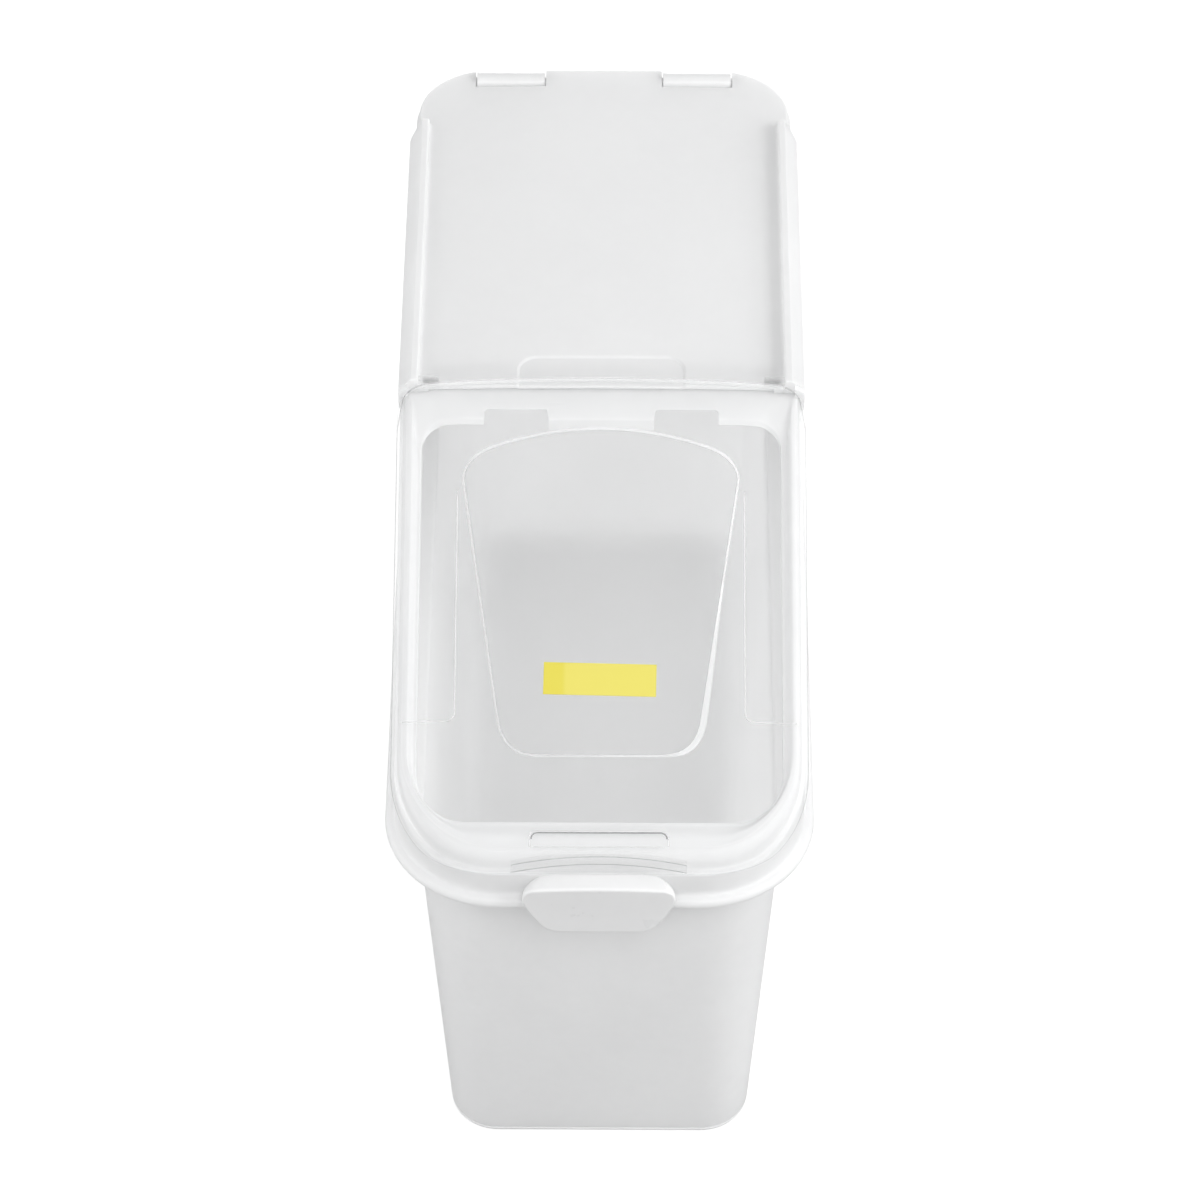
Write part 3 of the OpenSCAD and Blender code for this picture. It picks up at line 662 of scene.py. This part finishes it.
def mouth_flange():
    """Rings from the rim's crest in to the mouth, round its turned-down lip and back below."""
    half, front, _, front_r, _ = WALL_PLAN
    outer = outline((half, front, BAR_BACK, front_r, 0.5), 0.0, BAR_ACROSS, BAR_ALONG)
    inner_plan = (half - STEP_IN, front + STEP_IN, BAR_BACK, front_r - STEP_IN, 0.5)
    inner = outline(inner_plan, 0.0, BAR_ACROSS, BAR_ALONG)
    crest = moved_in(outer, inner, rim_round(outer[:, 1]) - 0.2)
    edge = mouth(0)
    rings = []
    for share in (0.0, 0.06, 0.14, 0.22, 0.3, 0.38, 0.46, 0.54, 0.62, 0.7, 0.78, 0.86, 0.92, 0.97):
        plan = crest * (1 - share) + edge * share
        rings.append(on_rim(plan, 0.01 + dish(plan, share)))

    # The lip goes deeper under the tongue than elsewhere, and leans towards the front under the cross bar
    y = edge[:, 1]
    level = rim_z(y) - dish(edge, 1.0)
    tongue = np.isclose(y, MOUTH_PLAN[2]) & (np.abs(edge[:, 0]) < NOTCH_START)
    notch = y > MOUTH_PLAN[2] + 0.1
    bar = ease((y + 34) / 14)
    deep = np.where(notch, 1.3, 4.3 + 2.5 * tongue - 1.1 * bar)
    lean = np.where(notch, -0.5, (1.9 + 1.2 * tongue) * bar)
    tighter, wider = mouth(-1), mouth(1)
    for plan, drop, share in ((moved_in(edge, tighter, 0.2, 1.0), 0.25, 0.05),
                              (moved_in(edge, tighter, 0.35, 1.0), 0.9, 0.22),
                              (moved_in(edge, tighter, 0.35, 1.0), deep - 0.5, 0.95),
                              (moved_in(edge, tighter, 0.1, 1.0), deep - 0.05, 1.0),
                              (moved_in(edge, wider, 0.8, 1.0), deep, 0.9),
                              (mouth(1.8), deep - 0.5, 0.75)):
        plan = np.column_stack([plan[:, 0], plan[:, 1] - lean * share])
        rings.append(lifted(plan, level - drop))

    # The flange's underside
    lip_back = mouth(1.9)
    rings.append(lifted(lip_back, level - FLANGE_T + 0.2))
    plan = crest * 0.5 + lip_back * 0.5
    rings.append(on_rim(plan, FLANGE_T + dish(plan, 0.5)))
    plan = moved_in(outer, inner, rim_round(outer[:, 1]) + 0.6)
    rings.append(on_rim(plan, FLANGE_T))
    return rings


def make_tub():
    surface = Surface()
    outside = [surface.ring(ring) for ring in tub_outside()]
    inside = [surface.ring(ring) for ring in tub_inside()]
    surface.join(outside + inside[:1], OUTSIDE)
    # The inside takes the lighter white, painted light.
    surface.join(inside, INSIDE)
    surface.cap(outside[0], OUTSIDE)
    surface.cap(inside[-1], INSIDE)
    # The flange takes the darker white, painted shade.
    surface.skin(mouth_flange(), FLANGE, last_to_first=True)
    return surface.piece("Bin_Tub_Wall", "bin", [TUB, RIM_PAINTED_SHADE, TUB_INSIDE_PAINTED_LIGHT], ["bin_tub"])


even_shading(make_tub(), 50)

# ----------------------------------------------------------
# Rear cover


def crown_z(x):
    """Height of the rear cover's slightly crowned face."""
    return FACE_Z + CROWN - x * x / (2 * CROWN_R)


def recess_share(x, y):
    """1 in the finger recess at the cover's front edge, 0 outside it, soft between."""
    past_x, past_y = np.abs(x) - (RECESS_HALF - RECESS_R), y - (RECESS_BACK - RECESS_R)
    round_corner = np.hypot(np.maximum(past_x, 0), max(past_y, 0)) - RECESS_R
    straight = np.maximum(past_x - RECESS_R, past_y - RECESS_R)
    return ease(0.5 - np.where((past_x > 0) & (past_y > 0), round_corner, straight) / 1.6)


def edge_drop(x, y):
    """How far the sheet's face drops at its rounded edges."""
    past_x, past_y = np.abs(x) - (COVER_HALF - COVER_R), y - (COVER_BACK - COVER_R)
    away = np.minimum(COVER_HALF - np.abs(x), min(y - COVER_FRONT, COVER_BACK - y))
    round_corner = np.minimum(away, COVER_R - np.hypot(past_x, max(past_y, 0)))
    away = np.clip(np.where((past_y > 0) & (past_x > 0), round_corner, away), 0, COVER_EDGE)
    return COVER_EDGE - np.sqrt(np.maximum(COVER_EDGE ** 2 - (COVER_EDGE - away) ** 2, 0))


def make_cover():
    """The cover's sheet as a grid, finer at its edges, at the recess's sides and at its back end."""
    surface = Surface()
    half_x = [0, 8, 16, 24, 30] + list(np.arange(31.5, 45.6, 0.5))
    half_x += [49, 56, 64, 72, 80, 87, 92, 96, 98, 99, 99.5, 99.8, 100.1, 100.3, 100.42, COVER_HALF]
    xs = np.array([-x for x in reversed(half_x[1:])] + half_x)
    corner_y = COVER_BACK - COVER_R
    turn = np.radians([5, 10, 16, 22, 28, 34, 40, 46, 52, 58, 64, 69, 73, 77, 80, 83, 85.5, 87.5, 89, 90])
    ys = [-2, -1.9, -1.7, -1.4, -1.0, -0.5, 1, 3, 5, 7, 8.5] + list(np.arange(9.5, 22.6, 0.5))
    ys += [25, 30, 38, 48, 60, 75, 90, 105, 120, 135, 150, 165, 180, 195, 205, 212, corner_y]
    ys += [corner_y + COVER_R * math.sin(a) for a in turn]
    top, under = [], []
    for y in ys:
        past = max(y - corner_y, 0.0)
        reach = COVER_HALF - COVER_R + math.sqrt(max(COVER_R ** 2 - past ** 2, 0))
        x = xs * reach / COVER_HALF
        drop, recess = edge_drop(x, y), recess_share(x, y)
        # A faint hollow across the face, above the rods
        hollow = 0.12 * math.exp(-((y - 243) / 5) ** 2)
        row = np.column_stack([x, np.full_like(x, y)])
        top.append(lifted(row, crown_z(x) - drop - RECESS_DEPTH * recess - hollow))
        under.append(lifted(row, crown_z(x) - COVER_PLATE + drop - 0.35 * recess))
    a = surface.skin(top, closed=False)
    b = surface.skin(under, closed=False)
    for k in range(len(a) - 1):
        for e in (0, -1):
            surface.face((a[k][e], a[k + 1][e], b[k + 1][e], b[k][e]))
    for k in (0, -1):
        for i in range(len(xs) - 1):
            surface.face((a[k][i], a[k][i + 1], b[k][i + 1], b[k][i]))
    cover = surface.piece("Rear_Cover_Sheet", "cover", [COVER], ["rear_cover"])
    for middle in (-CLIP_X, CLIP_X):
        low = (middle - SLOT_HALF, SLOT_FRONT, FACE_Z - 14)
        cut_out(cover, low, (middle + SLOT_HALF, COVER_BACK + 10.4, FACE_Z + 16))
    return cover


def rail_section():
    """Rail, shoulder and flange in X and Z over the cover's face, on the right side."""
    points = [(x, crown_z(x) - FACE_Z + lift) for x, lift in ((89.0, -0.03), (91.0, 0.03))]
    points += arc_points(92.6, 2.0, 1.9, 270, 360, 6)
    points += arc_points(95.6, RAIL_TOP - 1.1, 1.1, 180, 90, 5)
    points += arc_points(97.9, RAIL_TOP - 0.9, 0.9, 90, 40, 4)
    points += arc_points(SIDE_X - 1.4, -0.4, 1.4, 45, 0, 5)
    points += [(SIDE_X, -3.0), (SIDE_X - 0.05, -10.3)]
    points += arc_points(SIDE_X - 0.8, -10.3, 0.72, 0, -180, 6)
    points += [(103.1, -4.0), (102.9, -2.8), (101.5, -2.5), (96.0, -2.5), (89.0, -2.2)]
    return np.array(points)


def rail_rings(side, section):
    """Rings along a rail, whose side ramps in and whose flange rises towards the back end."""
    rings = []
    for y in (-2.75, -2.6, -2.3, -1.8, 10, 40, 80, 120, 160, 185, RISE_START, RAMP_START, 193.5, 195.5, 197.5,
              199.5, 201.5, 202.6, 203.4, 204.0, 204.4, RAIL_BACK):
        x, z = section[:, 0], section[:, 1]
        x = np.minimum(x, SIDE_X - RAMP_IN * np.clip((y - RAMP_START) / RAMP_LENGTH, 0.0, 1.0))
        rounded = 0.9 * max(0.0, (-1.8 - y) / 0.95) ** 2 + 2.2 * max(0.0, (y - 202.6) / 2.1) ** 2
        z = np.where(z > 1.2, np.maximum(z - rounded, 1.2), z)
        z = np.maximum(z, SIDE_FOOT + RISE * ease((y - RISE_START) / RISE_LENGTH))
        rings.append(np.column_stack([side * x, np.full(len(x), y), FACE_Z + z]))
    return rings


def make_rails():
    surface = Surface()
    section = rail_section()
    shoulder = np.vstack([section[section[:, 0] > SHOULDER_X], [(SHOULDER_X, -2.5), (SHOULDER_X, 3.4)]])
    for side in (1, -1):
        surface.bar(rail_rings(side, section))
        # The shoulder's front end, past the sheet's front edge
        surface.bar([np.column_stack([side * shoulder[:, 0], np.full(len(shoulder), y),
                                      FACE_Z + shoulder[:, 1] - 0.02 - drop])
                     for y, drop in ((-6.0, 0.35), (-5.7, 0.08), (-2.8, 0.0))])
        # The hinge rod inside the clip
        stations = ((ROD_START, ROD_R - 0.8), (ROD_START + 0.5, ROD_R - 0.25), (ROD_START + 1.2, ROD_R),
                    (ROD_END - 1.2, ROD_R), (ROD_END - 0.5, ROD_R - 0.25), (ROD_END, ROD_R - 0.8))
        surface.bar(rod_rings(side, stations, ROD_Y, ROD_Z, 28))
    return surface.piece("Rear_Cover_Rails", "cover", [COVER], ["rear_cover"])


even_shading(make_cover(), 40)
even_shading(make_rails(), 55)

# ----------------------------------------------------------
# Clear flip lid

# Shares of the way along the lid's straight side, closer together near its rear corner
DOWN_SIDE = [((k + 1) / 40) ** 1.5 for k in range(39)]

# Places in the lid's list of finishes; the edge and line places are painted highlight, the shade and faint
# places painted shade
FACE, PAINTED_EDGE_HIGHLIGHT, ROLL, PAINTED_LINE_HIGHLIGHT, PAINTED_SHADE, UNDER, PAINTED_FAINT_SHADE = range(7)
LID_FINISHES = [CLEAR, CLEAR_EDGE_PAINTED_HIGHLIGHT, CLEAR_ROLL, CLEAR_LINE_PAINTED_HIGHLIGHT, CLEAR_PAINTED_SHADE, CLEAR_INNER, CLEAR_FAINT_PAINTED_SHADE]


def lid_plan(inset=0.0):
    """The lid's outline, whose rear edge bows out towards the back."""
    plan = outline(LID_PLAN, inset, along=DOWN_SIDE)
    rear = plan[:, 1] > LID_PLAN[2] - 0.1 - inset
    bow = LIP_BOW * np.clip(1 - (plan[:, 0] / LIP_BOW_HALF) ** 2, 0, 1)
    plan[:, 1] += np.where(rear, bow, 0.0)
    return plan


def roll_radius(y):
    """Radius of the lid's rolled edge: small on the rear lip, larger at the sides and the front."""
    return 0.8 + 4.7 * forward(y, -7, 22) + 3.0 * forward(y, -175, 50)


def skirt_depth(y):
    """Depth of the lid's skirt below its face, straight down: only the plate's own on the rear lip."""
    full = LID_PLATE + (SKIRT - LID_PLATE) * forward(y, -8, 7)
    return np.minimum(full, lid_z(y) - SKIRT_FOOT)


def panel_arch(x):
    """The arched rear line of the raised panel, down the slope."""
    return PANEL_TOP + x * x / (2 * PANEL_ARCH_R)


def panel_line():
    """The raised panel's outline, across and down the slope, with the same stations as an outline in plan."""
    rear_x, side_rear, side_front, front_x = 53, (70.4, 56), (51.4, 184), 32
    shares = [a / (math.pi / 2) for a in CORNER]
    right = [(share * rear_x, panel_arch(share * rear_x)) for share in ACROSS]
    right += bezier((rear_x, panel_arch(rear_x)), (69.2, 43.6), side_rear, shares)
    right += [tuple(np.array(side_rear) + np.subtract(side_front, side_rear) * share) for share in DOWN_SIDE]
    right += bezier(side_front, (48.7, 203), (front_x, 203.3), shares)
    right += [(share * front_x, 203.4) for share in reversed(ACROSS)]
    return both_sides(right)


def slope_ring(line, lift):
    return np.array([on_slope(x, down, lift) for x, down in line])


def lid_skirt(outer, inner):
    """Rings and finishes from the skirt's lower edge up and over the rolled edge. At the sides and front the
    lower outer edge is a painted dark line; on the rear lip the lower edge and the roll are painted highlight
    and the back face between is painted shade.
    """
    y = outer[:, 1]
    r, depth = roll_radius(y), skirt_depth(y)
    rear = y > -3.0
    steps = []
    # Sides and front: the lower outer edge is painted shade. Rear lip: lower edge and roll painted highlight,
    # back face painted shade.
    for inset, rise, others in ((1.7, 0.15, PAINTED_SHADE), (1.1, 0.0, FACE), (0.4, 0.1, FACE)):
        steps.append((on_lid(moved_in(outer, inner, inset), depth - rise), np.where(rear, PAINTED_EDGE_HIGHLIGHT, others)))
    for inset, rise, share, at_rear, others in ((0.0, 0.6, 0.3, PAINTED_EDGE_HIGHLIGHT, PAINTED_SHADE), (0.0, 1.5, 0.4, PAINTED_SHADE, FACE),
                                                (0.35, 2.0, 0.5, PAINTED_SHADE, FACE)):
        height = lid_z(y) - depth + np.minimum(rise, depth * share)
        steps.append((lifted(moved_in(outer, inner, inset), height), np.where(rear, at_rear, others)))
    for a in QUARTER:
        plan = moved_in(outer, inner, 0.35 + (r - 0.35) * (1 - math.cos(a)))
        drop = np.minimum(r, depth * 0.5) * (1 - math.sin(a))
        steps.append((on_lid(plan, drop), np.where(rear, PAINTED_EDGE_HIGHLIGHT, ROLL)))
    return steps


def lid_top(crest, panel):
    """Rings and finishes from the rolled edge's crest over the face and up the raised panel's soft step. The
    step is painted highlight, stronger along the arch and the right side's lower part, with a faint painted
    shade line on its inner side.
    """
    x, down = panel[:, 0], panel[:, 1]
    # The step is wider at the right side's lower part and along the arch, to carry a broader painted
    # highlight there.
    right_side = ease((down - 100) / 88) * ease((x - 33) / 15)
    arched = ease((56 - down) / 14)
    step = (0.6 + 2.1 * right_side + 0.8 * arched)[:, None]
    painted_highlight = np.where((x > 0) & (down > 110) | (down < 46), PAINTED_EDGE_HIGHLIGHT, PAINTED_LINE_HIGHLIGHT)
    foot = slope_ring(pushed_out(panel, step), 0.0)
    steps = []
    for share in (0.012, 0.03, 0.06, 0.1, 0.16, 0.24, 0.36, 0.5, 0.66, 0.82, 0.93):
        ring = crest * (1 - share) + foot * share
        ring[:, 2] = lid_z(ring[:, 1])
        steps.append((ring, FACE))
    steps.append((foot, FACE))
    steps.append((slope_ring(pushed_out(panel, step - 0.2), 0.06), painted_highlight))
    steps.append((slope_ring(panel, PANEL_LIFT / 2), painted_highlight))
    steps.append((slope_ring(pushed_out(panel, -0.4), PANEL_LIFT - 0.04), painted_highlight))
    steps.append((slope_ring(pushed_out(panel, -0.8), PANEL_LIFT), PAINTED_FAINT_SHADE))
    steps.append((slope_ring(pushed_out(panel, -1.4), PANEL_LIFT), FACE))
    steps.append((slope_ring(panel * 0.6 + panel.mean(axis=0) * 0.4, PANEL_LIFT), FACE))
    return steps


def lid_underside(outer, inner, panel):
    """Rings up the inside of the skirt and over the plate's underside, in to below the panel."""
    y = outer[:, 1]
    r, depth = np.maximum(roll_radius(y) - 1.8, 0.3), skirt_depth(y)
    rings = [on_lid(moved_in(outer, inner, LID_PLATE), depth - np.minimum(0.5, depth * 0.3))]
    for a in np.radians([0, 30, 60, 90]):
        plan = moved_in(outer, inner, LID_PLATE + r * (1 - math.cos(a)))
        drop = np.minimum(r, np.maximum(depth - 2.4, 0)) * (1 - math.sin(a))
        rings.append(on_lid(plan, LID_PLATE / COS + drop))
    crest, middle = rings[-1], slope_ring(pushed_out(panel, 0.6), -LID_PLATE)
    for share in (0.03, 0.08, 0.16, 0.3, 0.5, 0.75):
        ring = crest * (1 - share) + middle * share
        ring[:, 2] = lid_z(ring[:, 1]) - LID_PLATE / COS
        rings.append(ring)
    return rings + [middle]


def make_lid():
    surface = Surface()
    outer, inner, panel = lid_plan(), lid_plan(STEP_IN), panel_line()
    steps = lid_skirt(outer, inner)
    steps += lid_top(steps[-1][0], panel)
    rows = [surface.ring(ring) for ring, _ in steps]
    for k in range(len(rows) - 1):
        surface.join(rows[k:k + 2], finish=steps[k + 1][1])
    surface.cap(rows[-1], FACE)
    below = [surface.ring(ring) for ring in lid_underside(outer, inner, panel)]
    surface.join([rows[0]] + below, finish=UNDER)
    surface.cap(below[-1], UNDER)
    return surface.piece("Flip_Lid_Pane", "lid", LID_FINISHES, ["flip_lid"])


def ridge(surface, line, width, height, finish=0):
    """A fine raised line on the lid's face; line holds points across and down the slope."""
    line = np.array(line, float)
    profile = [(-0.5, -0.05), (-0.3, 0.7), (0.0, 1.0), (0.3, 0.7), (0.5, -0.05)]
    surface.bar([[on_slope(*(point + square * w * width), h * height) for w, h in profile]
                 for point, square in zip(line, squares_to(np.gradient(line, axis=0)))], finish, finish)


def make_lid_lines():
    """The two long lines beside the panel, which turn out at the front, and the thumb pocket's lines, drawn
    with a painted highlight; the pocket's upper line is painted shade.
    """
    surface = Surface()
    for side in (-1, 1):
        path = [(LINE_X, down) for down in np.linspace(LINE_START, LINE_TURN, 24)]
        path += [(LINE_X + LINE_R * (1 - math.cos(a)), LINE_TURN + LINE_R * math.sin(a))
                 for a in np.radians([15, 35, 55, 75, 90])]
        path += [(x, LINE_TURN + LINE_R + 0.035 * (x - 78)) for x in np.linspace(80, LINE_END_X, 8)]
        ridge(surface, [(side * x, down) for x, down in path], 0.55, 0.1)

    half, top, r = POCKET_HALF, POCKET_TOP, POCKET_R
    corner = [(half - r + r * math.sin(a), top + r - r * math.cos(a)) for a in QUARTER]
    straight = [((half - r) * (k - 10) / 10, top) for k in range(1, 20)]
    upper = [(-x, down) for x, down in reversed(corner)] + straight + corner
    # The pocket's upper line is painted shade.
    ridge(surface, upper, 0.7, 0.16, 1)
    ridge(surface, [(x * 1.025, top + (down - top) * 0.97 - 0.75) for x, down in upper], 0.6, 0.12)
    ridge(surface, [(x, POCKET_FOOT + 0.1) for x in np.linspace(-half + 1, half - 1, 24)], 0.5, 0.08)
    for x in (-half * 1.02, half * 1.02):
        ridge(surface, [(x, down) for down in np.linspace(top + r, POCKET_FOOT, 6)], 0.6, 0.12)
    return surface.piece("Flip_Lid_Lines", "lid", [CLEAR_LINE_PAINTED_HIGHLIGHT, CLEAR_PAINTED_SHADE])


def make_lift_tab():
    """The arched lift tab at the lid's front edge, thin at both ends. Its lower front edge and a thin line
    across its top are painted shade, and its end faces painted highlight.
    """
    surface = Surface()
    # dark is painted shade and end is painted highlight.
    top, under, dark, end = range(4)
    kinds = [dark, dark, dark, top, top, top, top, dark, top, under, under]
    rings = []
    for x in [-TAB_HALF, -43.8, -43.2, -42] + list(np.linspace(-39, 39, 27)) + [42, 43.2, 43.8, TAB_HALF]:
        z = TAB_TOP - 6.5 * (x / TAB_HALF) ** 2
        middle = z - TAB_T / 2
        half = TAB_T / 2 * min(1.0, 0.55 + 0.45 * math.sqrt(max(0.0, min((TAB_HALF - abs(x)) / 1.2, 1.0))))
        root = min(float(lid_z(TAB_BACK)) + 0.03, z)
        section = [(TAB_FRONT + 0.5 - 0.5 * math.cos(a), middle + half * math.sin(a))
                   for a in np.radians([-90, -60, -30, 0, 30, 60, 90])]
        section += [(y, middle + half) for y in (-233.6, -233.0)]
        section += [(TAB_BACK, root), (TAB_BACK, root - 1.2)]
        rings.append([(x, y, height) for y, height in section])
    surface.bar(rings, kinds, end)
    finishes = [CLEAR, CLEAR_INNER, CLEAR_PAINTED_SHADE, CLEAR_EDGE_PAINTED_HIGHLIGHT]
    return surface.piece("Flip_Lid_Tab", "lid", finishes, ["flip_lid"])


def make_pin_bosses():
    """The two bosses that hold the lid's pins, each with a web to the lid's rear lip."""
    surface = Surface()
    stations = ((BOSS_START, BOSS_R - 0.5), (BOSS_START + 0.4, BOSS_R - 0.1), (BOSS_START + 1.0, BOSS_R),
                (BOSS_END - 1.0, BOSS_R), (BOSS_END - 0.4, BOSS_R - 0.1), (BOSS_END, BOSS_R - 0.5))
    web = ((-4, 348.35), (BOSS_Y, 348.35), (BOSS_Y + 0.2, 347.4), (BOSS_Y, 346.6), (-4, 346.6))
    for side in (-1, 1):
        surface.bar(rod_rings(side, stations, BOSS_Y, BOSS_Z, 24))
        surface.bar([[(side * x, y, z) for y, z in web] for x in (BOSS_START + 0.2, BOSS_END - 0.2)])
    return surface.piece("Flip_Lid_Bosses", "lid", [CLEAR_INNER], ["flip_lid"])


even_shading(make_lid(), 70)
make_lid_lines()
even_shading(make_lift_tab(), 70)
even_shading(make_pin_bosses(), 50)

# ----------------------------------------------------------
# Front grip


def grip_half():
    """Half of the grip's face, in X and Z below its top, from the top's middle round to the foot's middle."""
    top_end, shoulder, waist = (31.5, 0.0), (GRIP_HALF, -7.2), (36.4, -13.6)
    hip, foot_end = (30.6, -24.4), (19.5, GRIP_FOOT)
    points = [(x, 0.0) for x in np.linspace(0, top_end[0], 12)]
    points += bezier(top_end, (GRIP_HALF, 0.0), shoulder, np.linspace(0.1, 1, 9))
    points += bezier(shoulder, (38.3, -10.2), waist, np.linspace(0.2, 1, 5))
    points += bezier(waist, (34.0, -19.0), hip, np.linspace(0.2, 1, 5))
    points += bezier(hip, (26.6, -31.3), foot_end, np.linspace(0.12, 1, 9))
    points += [(x, GRIP_FOOT) for x in np.linspace(17, 0, 7)]
    return np.array(points)


def grip_ring(plan, y):
    """The grip's outline at y: a crowned top, narrower towards the wall."""
    back = (y - GRIP_FRONT) / (GRIP_WALL - GRIP_FRONT)
    x = plan[:, 0] * (1 - 0.13 * back ** 3)
    crown = (1.4 + 2.0 * back) * np.clip(1 - (x / GRIP_HALF) ** 2, 0, 1) * ease(1 + plan[:, 1] / 16)
    return np.column_stack([x, np.full(len(plan), y), GRIP_TOP - 0.6 + plan[:, 1] + crown])


def make_grip():
    surface = Surface()
    half = grip_half()
    line = both_sides(half)

    # The face plate with its rounded edges, open behind; each ring has an inset and a distance from the front
    surface.bar([grip_ring(pushed_out(line, -inset), GRIP_FRONT + back) for inset, back in (
        (1.3, 0.0), (0.9, 0.04), (0.5, 0.2), (0.2, 0.5), (0.04, 0.9), (0.0, 1.3), (0.0, 2.5), (0.3, 3.05),
        (0.9, GRIP_PLATE))])

    # The top plate and its turned-down ends, back to the wall
    outer = half[half[:, 1] > -9.0]
    inner = pushed_out(line, -GRIP_PLATE)[:len(outer)]
    strip = np.vstack([outer[::-1], outer[1:] * (-1, 1)])
    under = np.vstack([inner[::-1], inner[1:] * (-1, 1)])
    loop = np.vstack([strip, under[::-1]])
    rows = surface.skin([grip_ring(loop, y) for y in np.linspace(GRIP_FRONT + 2.2, GRIP_WALL + 0.5, 9)])
    for row in (rows[0], rows[-1]):
        for i in range(len(strip) - 1):
            surface.face((row[i], row[i + 1], row[-2 - i], row[-1 - i]))
    # The grip takes the lighter white, painted light.
    return surface.piece("Front_Grip", "bin", [GRIP_PAINTED_LIGHT], ["front_grip"])


even_shading(make_grip(), 60)

# ----------------------------------------------------------
# Solids of the frame that keep their shape

# The clips take the darker white, painted shade.
for node, finish, width in (("hinge_clip_left", CLIP_PAINTED_SHADE, 0.5), ("hinge_clip_right", CLIP_PAINTED_SHADE, 0.5),
                            ("lid_pin_left", CLEAR_PIN, 0.25), ("lid_pin_right", CLEAR_PIN, 0.25),
                            ("lid_label", LABEL, 0.0)):
    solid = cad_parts[node]
    solid.data.materials.clear()
    solid.data.materials.append(finish)
    if width:
        soften(solid, width)

# ----------------------------------------------------------
# Floor, light and camera, in metres

WHITE = (1.0, 1.0, 1.0, 1.0)
FLOOR_HALF, FLOOR_Z, FLOOR_GLOW = 9.0, -0.0003, 0.77
WORLD_LIGHT, WORLD_SEEN = 0.625, 1.0
CAMERA_AWAY, CAMERA_Z, CAMERA_DOWN, CAMERA_TURN, CAMERA_SHIFT = 1.8999, 2.148, 46.0, 0.32, -0.0013
SENSOR, LENS = 36.0, 152.1


def make_floor():
    """A floor that the camera sees as plain white, also through the clear lid."""
    mesh = bpy.data.meshes.new("Floor")
    corners = [(x * FLOOR_HALF, y * FLOOR_HALF, FLOOR_Z) for x, y in ((-1, -1), (1, -1), (1, 1), (-1, 1))]
    mesh.from_pydata(corners, [], [(0, 1, 2, 3)])
    floor = bpy.data.objects.new("Floor", mesh)
    bpy.context.scene.collection.objects.link(floor)
    f = Finish("Floor_White")
    f.set(base_color=(0.3, 0.3, 0.3, 1.0), roughness=0.9, specular_ior_level=0.1)
    seen = f.ray("Is Camera Ray").most(f.ray("Is Transmission Ray"))
    glow = f.node("ShaderNodeEmission", {}, {"Color": WHITE, "Strength": seen * FLOOR_GLOW})
    f.show(f.node("ShaderNodeAddShader", {}, {0: f.shader, 1: glow}))
    mesh.materials.append(f.material)


def make_world():
    """White where the camera sees it, straight, in gloss or through the lid; a dimmer light on the rest."""
    world = bpy.data.worlds.new("Studio")
    bpy.context.scene.world = world
    world.use_nodes = True
    nodes = Nodes(world.node_tree, "ShaderNodeOutputWorld")
    seen = nodes.ray("Is Camera Ray").most(nodes.ray("Is Glossy Ray")).most(nodes.ray("Is Transmission Ray"))
    level = nodes.node("ShaderNodeMapRange", {}, {"Value": seen, "To Min": WORLD_LIGHT, "To Max": WORLD_SEEN})
    nodes.show(nodes.node("ShaderNodeBackground", {}, {"Color": WHITE, "Strength": level}))


def make_lamp(name, place, aim, size, power):
    lamp = bpy.data.lights.new(name, "AREA")
    lamp.shape, lamp.size, lamp.size_y, lamp.energy = "RECTANGLE", size[0], size[1], power
    obj = bpy.data.objects.new(name, lamp)
    obj.location = place
    obj.rotation_mode = "QUATERNION"
    obj.rotation_quaternion = (Vector(aim) - Vector(place)).to_track_quat("-Z", "Y")
    bpy.context.scene.collection.objects.link(obj)


def make_camera():
    turn = math.radians(CAMERA_TURN)
    data = bpy.data.cameras.new("Camera")
    data.sensor_fit, data.sensor_width, data.lens = "HORIZONTAL", SENSOR, LENS
    data.clip_start, data.clip_end = 0.05, 60.0
    data.shift_x = CAMERA_SHIFT
    camera = bpy.data.objects.new("Camera", data)
    camera.location = (CAMERA_AWAY * math.sin(turn), -CAMERA_AWAY * math.cos(turn), CAMERA_Z)
    camera.rotation_euler = (math.radians(90 - CAMERA_DOWN), 0.0, turn)
    bpy.context.scene.collection.objects.link(camera)
    bpy.context.scene.camera = camera


make_floor()
make_world()
make_lamp("Right_Softbox", (2.0, -0.55, 1.1), (0, 0, 0.2), (1.8, 1.5), 35)
make_lamp("Left_Fill", (-1.65, -0.6, 0.32), (0, -0.1, 0.2), (1.2, 0.5), 10)
make_lamp("Rear_Fill", (0.1, 1.9, 0.4), (0, 0.1, 0.2), (1.4, 0.6), 14)
make_lamp("Front_Top", (0.0, -1.6, 2.35), (0, 0, 0.25), (1.8, 1.3), 24)
make_camera()
bpy.context.scene.view_settings.view_transform = "Standard"
